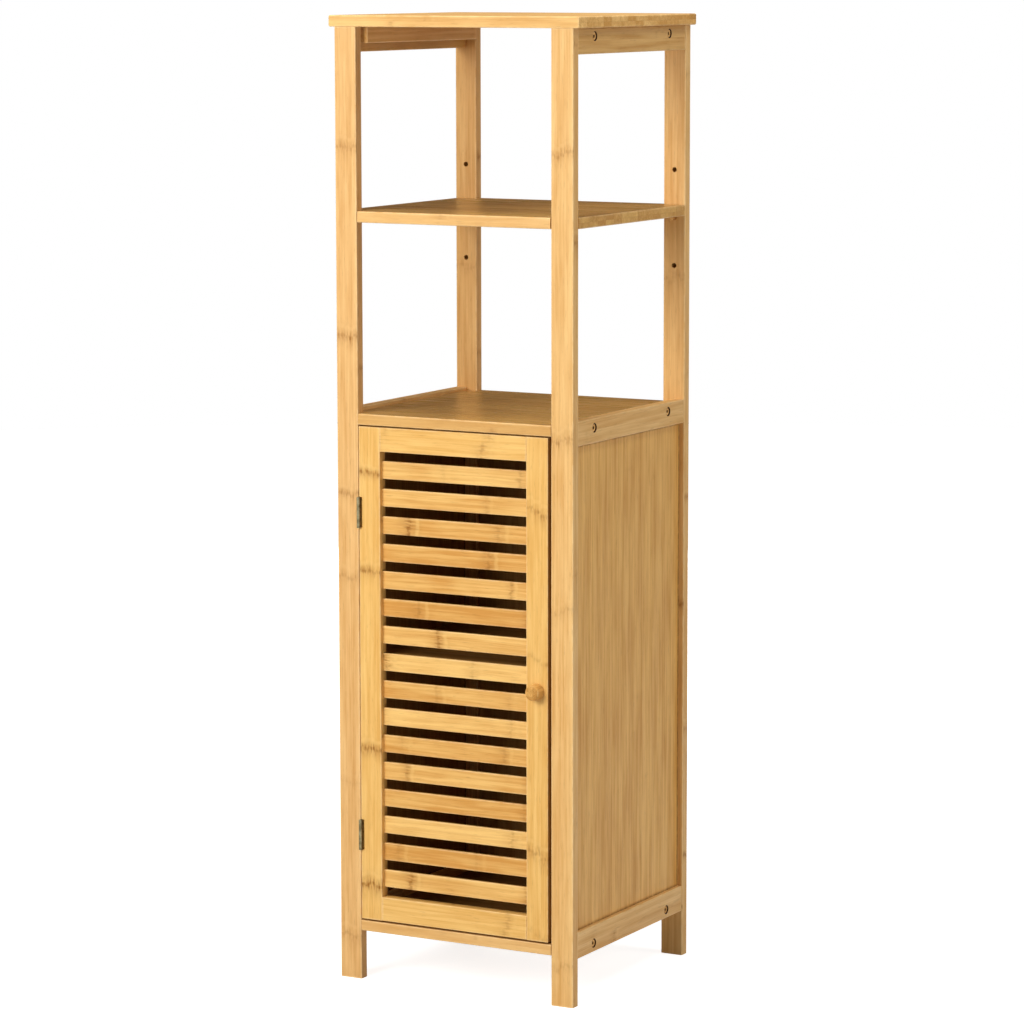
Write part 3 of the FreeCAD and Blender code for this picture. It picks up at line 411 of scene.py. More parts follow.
def bamboo_group():
    group = bpy.data.node_groups.new("laminated_bamboo", "ShaderNodeTree")
    plugs = {"NodeSocketVector": ("Place", "Reach"), "NodeSocketColor": ("Pale", "Deep", "Brown"),
             "NodeSocketFloat": ("Facing", "Inside", "Strip width", "Strip depth", "Cane width",
                                 "Node spacing", "Nodes", "Streaks", "Stretch", "Variety", "Gloss", "Seed")}
    for kind, names in plugs.items():
        for name in names:
            group.interface.new_socket(name, in_out="INPUT", socket_type=kind)
    for name, kind in (("Color", "Color"), ("Roughness", "Float"), ("Height", "Float")):
        group.interface.new_socket(name, in_out="OUTPUT", socket_type=f"NodeSocket{kind}")

    w = Texture(group)
    given = group.nodes.new("NodeGroupInput").outputs
    directions, tone, slide, glue = strips(w, given)
    fibre = fibres(w, given, directions, slide)
    mark, ridge = cane_nodes(w, given, directions, slide)
    edge = worn_and_lit_edges(w, given)
    end, dots = cut_ends(w, given, directions)
    colour = bamboo_colour(w, given, tone, fibre, glue, mark, ridge, edge, end, dots)
    rough = given["Gloss"]
    for share, where in zip(ROUGHER, (w.swing(fibre["streak"]), mark, edge, end, given["Inside"])):
        rough = w.plus(rough, w.times(where, share))
    height = w.minus(w.times(fibre["hair"], HAIR_HEIGHT),
                     w.plus(w.times(mark, MARK_DEPTH), w.times(glue, GLUE_DEPTH), dots))
    result = group.nodes.new("NodeGroupOutput")
    for socket, value in zip(result.inputs, (colour, rough, height)):
        group.links.new(value, socket)
    return group


BAMBOO = bamboo_group()
print("bamboo group", len(BAMBOO.nodes), "nodes")

# %% [markdown]
# All boards share the group, but each needs its own grain direction and its own corner to measure from,
# so that whole strips fit its width. Faces that look into the closed part are hardly seen, only as a near
# black between the slats: they get painted shade, a darker brown, and are rougher, without lacquer, and so
# does the edge of the door that shuts against the post, which lies in the shade of the gap. What is the same
# all over a surface, such as the strength of the lacquer's mirror image, is set on the shader itself.

# %% A material from the group
# faces that get painted shade, because they lie in the shade of the closed part or of the door's gap
SHADED_INSIDE = {  # axis and sign of the face that looks in
    "side_panel_left": (0, 1.0), "side_panel_right": (0, -1.0), "back_panel": (1, -1.0),
    "cabinet_top": (2, -1.0), "bottom_panel": (2, 1.0), "door_stile_right": (0, 1.0)}
FACES = 0.6, 0.9  # from where on a face counts as looking along an axis, and from where on fully
LACQUER_BUMP = 0.25, 0.0002  # strength, depth


def new_material(name):
    """A material and the wiring for its nodes."""
    material = bpy.data.materials.new(name)
    material.use_nodes = True
    return material, Texture(material.node_tree)


def coat(w, finish, height, strength, depth):
    """Wires a finish into the material's own shader, with a bump of that height."""
    bump = w.tree.nodes.new("ShaderNodeBump")
    w.fill(bump, {"Strength": strength, "Distance": depth, "Height": height})
    w.fill(w.tree.nodes["Principled BSDF"], {**finish, "Normal": bump.outputs["Normal"]})


def bamboo_material(name, grain, settings, shine):
    """grain names the axes along, across and through the board, such as ZXY for an upright one."""
    low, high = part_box(name)
    material, w = new_material(f"bamboo_{name}")
    order = ["XYZ".index(axis) for axis in grain]
    place = w.parts(w.put("VectorMath", w.place(), tuple(low), operation="SUBTRACT"))
    normal = w.parts(w.normal())
    # the inner shelf gets painted shade on all its faces
    inside = 1.0 if name == "inner_shelf" else 0.0
    if name in SHADED_INSIDE:
        axis, sign = SHADED_INSIDE[name]
        inside = w.rise(w.times(normal[axis], sign), *FACES)

    bamboo = w.tree.nodes.new("ShaderNodeGroup")
    bamboo.node_tree = BAMBOO
    given = {"Place": w.vector(*(place[axis] for axis in order)), "Inside": inside,
             "Facing": w.math("ABSOLUTE", normal[order[0]]),
             "Reach": tuple((high - low)[axis] for axis in order)}
    w.fill(bamboo, {**given, **settings})
    finish = {"Base Color": bamboo.outputs["Color"], "Roughness": bamboo.outputs["Roughness"],
              "Specular IOR Level": shine}
    coat(w, finish, bamboo.outputs["Height"], *LACQUER_BUMP)
    return material


print("faces that look in:", ", ".join(SHADED_INSIDE))

# %% [markdown]
# Posts and rails are glued up from narrow strips, and a node of the cane runs over the whole width. No two
# canes have the same tone: the front left post is a little pinker than the right ones, and the door is more
# golden. The rear left post and the top rails are darker as painted shade, and so are the shelves, for the
# shade that falls on them. Shelves show broad strips on top and their ends at the sides. The thin side
# panels have many fine streaks and hardly a mark. Each slat is one strip of cane.

# %% Kinds of bamboo
BROWN = paint(124, 76, 28)
FRAME_WOOD = {"Pale": paint(250, 206, 136), "Deep": paint(220, 165, 92), "Brown": BROWN, "Nodes": 0.9,
              "Node spacing": 0.25, "Streaks": 1.0, "Stretch": 1.0, "Variety": 0.25, "Gloss": 0.45}
# the rear left post is darker as painted shade
SHADED_POST_WOOD = {**FRAME_WOOD, "Pale": paint(240, 193, 124), "Deep": paint(208, 153, 84)}
PINK_WOOD = {**FRAME_WOOD, "Pale": paint(248, 202, 135), "Deep": paint(216, 161, 92)}
# the top rails are darker as painted shade, the shade under the top's overhang
SHADED_RAIL_WOOD = {**FRAME_WOOD, "Pale": paint(230, 184, 111), "Deep": paint(196, 143, 72)}
DOOR_WOOD = {**FRAME_WOOD, "Pale": paint(252, 206, 124), "Deep": paint(226, 169, 84), "Node spacing": 0.17,
             "Nodes": 1.1}
SLAT_WOOD = {**DOOR_WOOD, "Deep": paint(214, 152, 72), "Node spacing": 0.15, "Variety": 0.85}
TOP_WOOD = {**FRAME_WOOD, "Pale": paint(246, 200, 127), "Deep": paint(212, 156, 83), "Nodes": 0.6,
            "Node spacing": 0.30, "Variety": 0.45, "Gloss": 0.55}
# the shelves' darker tone is painted shade, the shade of the board above them
SHADED_BOARD_WOOD = {**TOP_WOOD, "Pale": paint(226, 180, 102), "Deep": paint(190, 137, 65), "Variety": 0.32,
              "Streaks": 0.75, "Gloss": 0.30}
PANEL_WOOD = {**FRAME_WOOD, "Pale": paint(246, 194, 110), "Deep": paint(214, 155, 76), "Nodes": 0.12,
              "Node spacing": 0.34, "Streaks": 1.3, "Stretch": 1.2, "Variety": 0.30}
KNOB_WOOD = {**FRAME_WOOD, "Pale": paint(226, 174, 96), "Deep": paint(190, 134, 62), "Nodes": 0.3}
print("a post has a node every", FRAME_WOOD["Node spacing"], "m or so")

# %% [markdown]
# The grain runs along every board, and three letters name the axes along, across and through it. The width
# and depth of a strip say how the board was glued up: six millimetres wide in a post, broad on a shelf, one
# strip for a whole slat. The width of a cane is how far one mark runs across the board.

# %% Grain and strips of every board
boards = {}  # name: (grain, (width and depth of a strip), width of a cane, wood)
posts = {"front_left": PINK_WOOD, "front_right": FRAME_WOOD,
         "rear_left": SHADED_POST_WOOD, "rear_right": FRAME_WOOD}
for corner, wood in posts.items():
    boards[f"post_{corner}"] = ("ZXY", (0.0060, 0.0140), 0.030, wood)
for side in ("left", "right"):
    for level in ("top", "mid", "base"):
        # painted shade: the top rails get the darker wood
        wood = SHADED_RAIL_WOOD if level == "top" else FRAME_WOOD
        boards[f"{level}_rail_{side}"] = ("YZX", (0.0080, 0.0070), 0.016, {**wood, "Nodes": 0.6})
    boards[f"top_cleat_{side}"] = ("YZX", (0.0100, 0.0067), 0.020, FRAME_WOOD)
    boards[f"side_panel_{side}"] = ("ZYX", (0.0270, 0.0050), 0.027, PANEL_WOOD)
    boards[f"door_stile_{side}"] = ("ZXY", (0.0100, 0.0070), 0.030, DOOR_WOOD)
for level in ("top", "bottom"):
    boards[f"door_rail_{level}"] = ("XZY", (0.0100, 0.0070), 0.030, DOOR_WOOD)
for name in ("cabinet_top", "bottom_panel", "open_shelf", "inner_shelf"):
    boards[name] = ("XYZ", (0.0210, 0.0070), 0.021, SHADED_BOARD_WOOD)
boards["top_panel"] = ("XYZ", (0.0210, 0.0070), 0.021, TOP_WOOD)
boards["back_panel"] = ("ZXY", (0.0270, 0.0040), 0.027, PANEL_WOOD)
for number in range(1, 17):
    boards[f"door_slat_{number:02d}"] = ("XZY", (0.0220, 0.0050), 0.022, SLAT_WOOD)
boards["knob"] = ("YXZ", (0.0060, 0.0060), 0.020, KNOB_WOOD)
print(len(boards), "boards")

# %% [markdown]
# Every board has a seed of its own, so no two show the same strips. The shelves and the boards above and
# below the door mirror a little more than the rest.

# %% Give every board its bamboo
SHELF_SHINE, PLAIN_SHINE = 0.22, 0.18


def dress(name, material):
    nodes[name].data.materials.clear()
    nodes[name].data.materials.append(material)


for seed, (name, (grain, (width, depth), cane, wood)) in enumerate(boards.items(), start=1):
    cut = {"Strip width": width, "Strip depth": depth, "Cane width": cane, "Seed": float(seed)}
    shine = SHELF_SHINE if wood is SHADED_BOARD_WOOD else PLAIN_SHINE
    dress(name, bamboo_material(name, grain, {**wood, **cut}, shine))
print(len(boards), "boards dressed")

# %% [markdown]
# A shelf shows the faces of its strips on top and their flanks in front. Its wood is darker than the posts'
# as painted shade on the top, and the front edge, out of that shade, is painted paler again, about as pale
# as the posts beside it. The surface's normal tells the two apart, and it picks the pair of tones that goes
# into the group.

# %% Make the front edges paler
FRONT_EDGES = {"open_shelf": 1.0, "cabinet_top": 0.55, "bottom_panel": 1.0}  # 1 is as pale as a post
for name, share in FRONT_EDGES.items():
    w = Texture(nodes[name].data.materials[0].node_tree)
    _, to_front, _ = w.parts(w.normal())
    # painted light: the front edge goes back to the posts' paler tone, out of the painted shade of the top
    front = w.rise(w.math("ABSOLUTE", to_front), *FACES, 0.0, share)
    tones = {tone: w.mix(front, SHADED_BOARD_WOOD[tone], FRAME_WOOD[tone]) for tone in ("Pale", "Deep")}
    w.fill(w.tree.nodes["Group"], tones)
    print("pale front edge on", name)

# %% [markdown]
# The fittings are small, but they catch the eye because they are not wood. Plated metal is brighter
# where hands and tools rub it and dull where it has tarnished, with fine lines from rolling or turning
# and a few pits. The bottom of a socket lies in shade, and that shade is painted: a number on the mesh,
# called recess, lets the shader darken it. One function makes bronze, nickel and zinc from a bright and a
# dull colour.

# %% Plated metals
SOCKET_SHADE = paint(44, 28, 14)
TARNISH = 140.0, 4.0, (0.36, 0.64), 0.0, 0.6  # rate, detail, span, least, roughness of the noise
PITS = 1500.0, 1.0, (0.66, 0.74)
TARNISH_ROUGHNESS, LINE_ROUGHNESS = 0.15, 0.10
TARNISH_SHARE, LINE_SHARE, DULL_SHARE, PIT_SHARE, SOCKET_SHADE_SHARE = 0.8, 0.4, 0.8, 0.5, 0.9
METAL_BUMP = 0.2, 0.0001  # strength, depth


def metal_material(name, bright, dull, rough, line_rates):
    """line_rates are cycles a metre, of all axes or of each; the largest runs across the fine lines."""
    material, w = new_material(name)
    where = w.place()
    tarnish, pits = w.patches(where, *TARNISH), w.patches(where, *PITS)
    lines = w.noise(w.scaled(where, line_rates))
    dulled = w.plus(w.times(tarnish, TARNISH_SHARE), w.times(lines, LINE_SHARE))
    colour = w.mix(w.times(dulled, DULL_SHARE), bright, dull)
    colour = w.mix(w.times(pits, PIT_SHARE), colour, dull)
    # painted shade at the bottom of a socket or recess
    recess = w.put("Attribute", output=2, attribute_name="recess")
    colour = w.mix(w.times(recess, SOCKET_SHADE_SHARE), colour, SOCKET_SHADE)
    rough = w.plus(rough, w.times(tarnish, TARNISH_ROUGHNESS), w.times(lines, LINE_ROUGHNESS))
    finish = {"Base Color": colour, "Metallic": 1.0, "Roughness": rough}
    coat(w, finish, w.minus(w.times(lines, LINE_SHARE), pits), *METAL_BUMP)
    return material


BRONZE = metal_material("dull_bronze", paint(206, 162, 100), paint(144, 100, 52), 0.45, 300.0)
NICKEL = metal_material("dull_nickel", paint(146, 138, 108), paint(82, 72, 46), 0.34, (300.0, 300.0, 2600.0))
ZINC = metal_material("bright_zinc", paint(204, 204, 202), paint(150, 150, 148), 0.28, (2200.0, 300.0, 300.0))
metals = {
    BRONZE: ("insert_nuts", "open_shelf_pins", "inner_shelf_pins"),
    NICKEL: ("hinge_post_leaf_upper", "hinge_post_leaf_lower", "hinge_door_leaf_upper",
             "hinge_door_leaf_lower", "hinge_pins"),
    ZINC: ("strike_plate",),
}
for material, names in metals.items():
    for name in names:
        dress(name, material)
    print(material.name, "on", len(names), "pieces")

# %% [markdown]
# Like fasteners share one CAD piece, so its mesh is many separate solids. Blender's own tool for loose parts
# would cut that mesh up, and it has to stay whole. So its points are sorted: those that a face joins belong
# to one solid, which is known by one leading point.

# %% Sort the points of a CAD piece by solid
def solids_of(name):
    """The corner points of each separate solid in a CAD piece."""
    spots = [tuple(round(v, 6) for v in vertex.co) for vertex in nodes[name].data.vertices]
    leader = {spot: spot for spot in spots}

    def lead(spot):
        while leader[spot] != spot:
            leader[spot] = leader[leader[spot]]
            spot = leader[spot]
        return spot

    for face in nodes[name].data.polygons:
        for index in face.vertices[1:]:
            leader[lead(spots[index])] = lead(spots[face.vertices[0]])
    groups = {}
    for spot in leader:
        groups.setdefault(lead(spot), []).append(Vector(spot))
    return list(groups.values())


def corners_of(points):
    """The lowest and the highest corner of the box round some points."""
    return [Vector([pick(point[i] for point in points) for i in range(3)]) for pick in (min, max)]


print(len(solids_of("frame_bolts")), "bolts in one CAD piece")

# %% [markdown]
# In the CAD model a bolt or a screw is a head on a smooth rod, at the right place and size. The finer ones
# made here take over its axis and its sizes, read from the corner points of each solid: the long direction
# is the axis, and the end with the larger radius is the head. So they fit again if the model changes.

# %% Measure the CAD fasteners
FASTENERS = {"frame_bolts": "carcass", "carcass_screws": "carcass", "cleat_screws": "carcass",
             "door_screws": "door", "knob_screw": "door"}  # CAD piece: body
CLOSE, NEARLY = 1e-5, 0.98  # metres, share of a radius


def measured(points):
    """Where the head's face is, which way it looks, and the sizes of the head and the shank."""
    low, high = corners_of(points)
    middle, half = (low + high) / 2, max(high - low) / 2
    out = Vector([1.0 if high[i] - low[i] > 2 * half - CLOSE else 0.0 for i in range(3)])
    rows = []
    for point in points:
        along = (point - middle).dot(out)
        rows.append((along, (point - middle - out * along).length))
    ends = [max(radius for along, radius in rows if abs(along - end) < CLOSE) for end in (-half, half)]
    if ends[0] > ends[1]:
        out, rows, ends = -out, [(-along, radius) for along, radius in rows], ends[::-1]
    shank, rim = ends
    under = max(along for along, radius in rows if along < half - CLOSE and radius > NEARLY * shank)
    foot = max(radius for along, radius in rows if abs(along - under) < CLOSE)
    return {"face": middle + out * half, "out": out, "rim": rim, "foot": foot, "shank": shank,
            "height": half - under, "length": 2 * half}


for name in FASTENERS:
    found = [measured(points) for points in solids_of(name)]
    sizes = {key: round(1000 * found[0][key], 2) for key in ("rim", "foot", "shank", "height", "length")}
    print(name, len(found), sizes)

# %% [markdown]
# A lathe turns a profile into rings. Here the radius of a ring may change with the angle, and that is
# enough for the rest of a fastener: a hexagon or a cross for the key, and a thread, whose crest moves on
# a little at every angle. The crest stays at the plain rod's radius.

# %% A lathe with a changing radius
def turned(fastener, rings, angles):
    """Points and faces; a ring is a depth below the head's face and a radius, as a number or by angle."""
    out = fastener["out"]
    side = out.orthogonal().normalized()
    up = out.cross(side)
    points, rows, faces = [], [], []
    for depth, radius in rings:
        row = [0.0] if radius == 0 else angles
        rows.append(range(len(points), len(points) + len(row)))
        for angle in row:
            reach = radius(angle) if callable(radius) else radius
            spoke = side * math.cos(angle) + up * math.sin(angle)
            points.append(fastener["face"] - out * depth + spoke * reach)
    for above, below in zip(rows, rows[1:]):
        for here in range(len(angles)):
            there = (here + 1) % len(angles)
            if len(above) == 1:
                faces.append((above[0], below[here], below[there]))
            elif len(below) == 1:
                faces.append((above[here], below[0], above[there]))
            else:
                faces.append((above[here], below[here], below[there], above[there]))
    return points, faces


def hexagon(corner):
    return lambda angle: corner * math.cos(math.pi / 6) / math.cos(angle % (math.pi / 3) - math.pi / 6)


def cross(arm, half):
    def reach(angle):
        turn = (angle + math.pi / 4) % (math.pi / 2) - math.pi / 4
        return min(arm / math.cos(turn), half / max(abs(math.sin(turn)), 1e-6))
    return reach


def thread(crest, cut, pitch, depth):
    return lambda angle: crest - cut * abs((depth / pitch - angle / math.tau) % 1.0 * 2 - 1)


print("lathe ready")

# %% [markdown]
# The edges of a fastener's head are broken a little, so that they catch the light. A boolean could cut edges
# and threads out of a rod. Rings are lighter, and the same ones serve bolts and screws.

# %% Rings of heads and threads
EASE = 0.12  # of the head's height, taken off its edges
FLAT_HEAD = 1.1  # of the shank: a wider foot belongs to a head that is flat underneath
RINGS_A_TURN = 4


def head_rings(fastener):
    """From the rim of the head's face to the shank."""
    rim, foot, height = fastener["rim"], fastener["foot"], fastener["height"]
    ease = EASE * height
    rings = [(0.0, rim - ease), (ease, rim)]
    if foot > FLAT_HEAD * fastener["shank"]:
        rings += [(height - ease, foot), (height, foot - ease)]
    return rings + [(height, fastener["shank"])]


def thread_rings(fastener, start, end, cut, pitch):
    """The rings of a thread between two depths."""
    count = math.ceil((end - start) / pitch * RINGS_A_TURN)
    depths = [start + (end - start) * step / count for step in range(count + 1)]
    return [(depth, thread(fastener["shank"], cut, pitch, depth)) for depth in depths]


print(RINGS_A_TURN, "rings to a turn of a thread")

# %% [markdown]
# A connector bolt has a flat bronzed head with a hexagon socket, which widens in a small lip at its mouth,
# and a fine thread that ends in the insert nut. Its rings run from the bottom of the socket over the head to
# the tip, so the lathe makes it in one go.

# %% Rings of a connector bolt
BOLT_PITCH = 0.0010
SOCKET_CORNER, SOCKET_DEPTH, SOCKET_BOTTOM = 0.49, 1.25, 0.97  # of the rim, the head's height, the corner
LIP_DEPTH, LIP_CORNER = 0.08, 1.07  # of the socket's depth and corner
BOLT_THREAD, BOLT_CUT, BOLT_TIP = (0.45, 0.97), 0.10, 0.75  # of the length, the shank, the shank


def bolt_rings(bolt):
    """Socket, head, thread and flat tip."""
    corner, depth = SOCKET_CORNER * bolt["rim"], SOCKET_DEPTH * bolt["height"]
    shank, tip = bolt["shank"], bolt["length"]
    socket = [(depth, 0), (depth, hexagon(SOCKET_BOTTOM * corner)), (LIP_DEPTH * depth, hexagon(corner)),
              (0.0, hexagon(LIP_CORNER * corner))]
    start, end = (share * tip for share in BOLT_THREAD)
    body = thread_rings(bolt, start, end, BOLT_CUT * shank, BOLT_PITCH)
    return socket + head_rings(bolt) + body + [(tip, BOLT_TIP * shank), (tip, 0)]


print("a turn of the bolts' thread every", round(1000 * BOLT_PITCH, 1), "mm")

# %% [markdown]
# A wood screw has a cross recess with sloping walls, a plain neck under the head, a coarse thread and a
# point. A small cross at the bottom of the recess and a large one at its mouth give the slope.

# %% Rings of a wood screw
CROSS_ARM, CROSS_HALF, CROSS_DEPTH = 0.62, 0.17, 0.80  # of the rim, the rim, the head's height
BOTTOM_ARM, BOTTOM_HALF, BOTTOM_DEPTH = 0.45, 0.09, 0.96  # of the arm, the rim, the recess's depth
SCREW_THREAD, SCREW_CUT, SCREW_PITCH = (0.36, 0.84), 0.28, 0.9  # of the length, the shank, the shank
POINT_START, POINT_RADIUS = 0.92, 0.5  # of the length, the shank


def screw_rings(screw):
    """Cross recess, head, thread and point."""
    rim, shank, tip = screw["rim"], screw["shank"], screw["length"]
    arm, depth = CROSS_ARM * rim, CROSS_DEPTH * screw["height"]
    recess = [(depth, 0), (BOTTOM_DEPTH * depth, cross(BOTTOM_ARM * arm, BOTTOM_HALF * rim)),
              (0.0, cross(arm, CROSS_HALF * rim))]
    start, end = (share * tip for share in SCREW_THREAD)
    body = thread_rings(screw, start, end, SCREW_CUT * shank, SCREW_PITCH * shank)
    return recess + head_rings(screw) + body + [(POINT_START * tip, POINT_RADIUS * shank), (tip, 0)]


print("screws taper over the last", round(100 * (1 - POINT_START)), "% of their length")

# %% [markdown]
# Each turned piece stands for one CAD piece, on the same body. Even angles do for a bolt. A screw also needs
# the corners of its cross among them, or the arms would come out blunt. The points at the bottom of a recess
# get the number that the metal's shader darkens into painted shade.

# %% Turn the bolts and screws
FACETS, SHARP_ANGLE = 24, math.radians(32)
ARM_CORNER = 0.267  # angle from the middle of a cross's arm to its corner
even = [math.tau * step / FACETS for step in range(FACETS)]
arm_angles = [quarter * math.pi / 2 + turn for quarter in range(4)
              for turn in (-ARM_CORNER, ARM_CORNER, math.pi / 4)]
cross_angles = sorted({round(angle % math.tau, 4) for angle in even + arm_angles})
for name, body in FASTENERS.items():
    bolts = name == "frame_bolts"
    rings, angles, material = (bolt_rings, even, BRONZE) if bolts else (screw_rings, cross_angles, ZINC)
    points, faces, recess = [], [], []
    for solid in solids_of(name):
        fastener = measured(solid)
        more, around = turned(fastener, rings(fastener), angles)
        faces += [tuple(index + len(points) for index in face) for face in around]
        points += more
        floor_points = 1 + len(angles)
        recess += [1.0] * floor_points + [0.0] * (len(more) - floor_points)
    mesh = bpy.data.meshes.new(f"turned_{name}")
    mesh.from_pydata(points, [], faces)
    mesh.attributes.new("recess", "FLOAT", "POINT").data.foreach_set("value", recess)
    mesh.shade_smooth()
    mesh.set_sharp_from_angle(angle=SHARP_ANGLE)
    mesh.materials.append(material)
    piece = added(f"turned_{name}", mesh)
    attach(piece, body)
    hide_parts(name)
    print(piece.name, len(faces), "faces")

# %% [markdown]
# A bolt's head sits sunk in a seat in the rail, and the wall of the seat lies in shade. Seen from the side it
# shows as a thin dark crescent behind each head. The wall has no material of its own, so that shade is
# painted: the rail's wood is darkened nearly to black by the distance from the axis of the bolt.

# %% Paint shade into the seats of the bolts
# the brown of the painted shade, in the bolts' seats and round the side panels
SHADE_BROWN, SEAT_ROOM = paint(58, 32, 12), 0.0006


def opened(name):
    """The wiring of a piece's material, the socket of its colour and what feeds that so far."""
    w = Texture(nodes[name].data.materials[0].node_tree)
    base = w.tree.nodes["Principled BSDF"].inputs["Base Color"]
    return w, base, base.links[0].from_socket


seated = [measured(solid) for solid in solids_of("frame_bolts")]
for name in [board for board in boards if board.endswith(("_rail_left", "_rail_right"))]:
    low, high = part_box(name)
    w, base, colour = opened(name)
    _, y, z = w.parts(w.place())
    mine = [bolt for bolt in seated if all(low[i] < bolt["face"][i] < high[i] for i in range(3))]
    for bolt in mine:
        away = w.length(w.vector(0.0, w.minus(y, bolt["face"].y), w.minus(z, bolt["face"].z)))
        seat = bolt["foot"] + SEAT_ROOM
        # painted shade: the wall of the bolt's seat, darkened round its axis
        colour = w.mix(w.close_to(away, seat, seat + SEAT_ROOM), colour, SHADE_BROWN)
    w.feed(base, colour)
    print(name, len(mine), "seats")

# %% [markdown]
# The holes of the shelf pins get painted shade too, lighter than in the bolts' seats. A pin sits in the
# middle hole of three, and the others are as far up and down as its shelf can be lifted, so the shelf's joint
# gives their places. The holes end inside the post, and so does the painted shade: it reaches no farther
# than the pin does.

# %% Paint shade into the holes of the shelf pins
HOLE_SHADE = paint(170, 128, 66)
lifts = {joint["child"]: joint["range_m"][1] for joint in frame["joints"] if joint["type"] == "slide"}
pins = []
for shelf, lift in lifts.items():
    for points in solids_of(f"{shelf}_pins"):
        low, high = corners_of(points)
        pins.append(((low + high) / 2, (high - low) / 2, lift))
for name in [f"post_{corner}" for corner in posts]:
    low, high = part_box(name)
    w, base, colour = opened(name)
    x, y, z = w.parts(w.place())
    mine = [(middle, half, lift) for middle, half, lift in pins if low.x < middle.x < high.x
            and low.y < middle.y + half.y and middle.y - half.y < high.y]
    for middle, half, lift in mine:
        drilled = w.close_to(w.minus(y, middle.y), half.y, half.y + SEAT_ROOM)
        for step in (-1, 0, 1):
            away = w.length(w.vector(w.minus(x, middle.x), 0.0, w.minus(z, middle.z + step * lift)))
            hole = w.close_to(away, half.x, half.x + SEAT_ROOM)
            # painted shade in and round each pin hole
            colour = w.mix(w.times(drilled, hole), colour, HOLE_SHADE)
    w.feed(base, colour)
    print(name, 3 * len(mine), "pin holes")

# %% [markdown]
# A side panel sits in grooves of its posts and rails. The corner where it goes in lies in shade, and that
# shade is painted as a thin dark line that frames the panel. The places of the corners are read from the
# neighbours' boxes.

# %% Paint shade into the corners round the side panels
CORNER_SHADE_REACH, CORNER_SHADE_DEPTH = (0.0004, 0.0042), 0.58
CORNER_SHADE_PATCHES = 120.0, 3.0, (0.30, 0.60), 0.45  # rate, detail, span, least
for side in ("left", "right"):
    w, base, colour = opened(f"side_panel_{side}")
    place = w.place()
    _, y, z = w.parts(place)
    edges = [w.minus(y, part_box(f"post_front_{side}")[1].y), w.minus(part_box(f"post_rear_{side}")[0].y, y),
             w.minus(z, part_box(f"base_rail_{side}")[1].z), w.minus(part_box(f"mid_rail_{side}")[0].z, z)]
    nearest = edges[0]
    for edge in edges[1:]:
        nearest = w.math("MINIMUM", nearest, edge)
    # painted shade along the corners where the panel goes into its grooves
    corner_shade = w.times(w.rise(nearest, *CORNER_SHADE_REACH, CORNER_SHADE_DEPTH, 0.0), w.patches(place, *CORNER_SHADE_PATCHES))
    w.feed(base, w.mix(corner_shade, colour, SHADE_BROWN))
    print("corners of the", side, "panel")

# %% [markdown]
# Behind the door sits a magnetic catch: a ferrite block in a moulded housing. Moulded plastic has a fine
# spark-eroded grain, ferrite is a sintered powder with a few grains that glint. The dowels are beech, a
# pale wood that shows short darker dashes, its rays.

# %% Grainy plastic, ferrite and beech
GRAIN_DETAIL, GRAIN_ROUGHNESS = 3.0, 0.6
GRAIN_STRENGTH, GRAIN_ROUGHER = 0.4, 0.15


def grainy_material(name, colours, rates, span, rough, bump_depth):
    """Two colours mixed by noise; span is the part of it over which one turns into the other."""
    material, w = new_material(name)
    grain = w.patches(w.place(), rates, GRAIN_DETAIL, span, roughness=GRAIN_ROUGHNESS)
    finish = {"Base Color": w.mix(grain, *colours), "Roughness": w.plus(rough, w.times(grain, GRAIN_ROUGHER))}
    coat(w, finish, grain, GRAIN_STRENGTH, bump_depth)
    return material


PLASTIC = grainy_material("catch_plastic", (paint(132, 92, 58), paint(112, 76, 46)),
                          1400.0, (0.35, 0.65), 0.42, 0.00006)
FERRITE = grainy_material("magnet_ferrite", (paint(62, 62, 64), paint(104, 104, 106)),
                          2600.0, (0.55, 0.72), 0.45, 0.00004)
BEECH = paint(226, 190, 146), paint(186, 138, 92)
RAIL_BEECH = grainy_material("rail_beech", BEECH, (1600.0, 130.0, 1600.0), (0.48, 0.70), 0.55, 0.00004)
DOOR_BEECH = grainy_material("door_beech", BEECH, (130.0, 1600.0, 1600.0), (0.48, 0.70), 0.55, 0.00004)
grainy = {"catch_housing": PLASTIC, "catch_magnet": FERRITE,
          "rail_dowels": RAIL_BEECH, "door_dowels": DOOR_BEECH}
for name, material in grainy.items():
    dress(name, material)
print("grainy finishes on", ", ".join(grainy))

# %% [markdown]
# The ground is plain white. The floor is pale and keeps the cabinet's shadow; what the camera or a
# reflection sees of it is lifted towards white by the Light Path node, so no extra lamp is needed that
# would bleach the wood. The lift is least round the feet, so that the shadow stays, and full far away,
# where the floor meets the white world. From below, the floor is clear, so that the cabinet's underside can
# be looked at too.

# %% Lay the floor
def seen_directly(w):
    """One for what the camera, a reflection or glass sees, zero for light that bounces."""
    path = w.tree.nodes.new("ShaderNodeLightPath")
    direct = w.math("MAXIMUM", path.outputs["Is Camera Ray"], path.outputs["Is Glossy Ray"])
    return w.math("MAXIMUM", direct, path.outputs["Is Transmission Ray"])


FLOOR_RADIUS, FLOOR_STEPS, FLOOR_GREY = 6.0, 96, 0.6
FLOOR_LIFT, LIFT_SPAN = 0.80, (0.4, 1.6)  # least lift, and from where to where it grows to full
WHITE = (1.0, 1.0, 1.0, 1.0)
mesh = bpy.data.meshes.new("floor")
angles = [math.tau * step / FLOOR_STEPS for step in range(FLOOR_STEPS)]
rim = [(FLOOR_RADIUS * math.cos(angle), FLOOR_RADIUS * math.sin(angle), 0.0) for angle in angles]
mesh.from_pydata(rim, [], [tuple(range(FLOOR_STEPS))])
floor = added("floor", mesh)

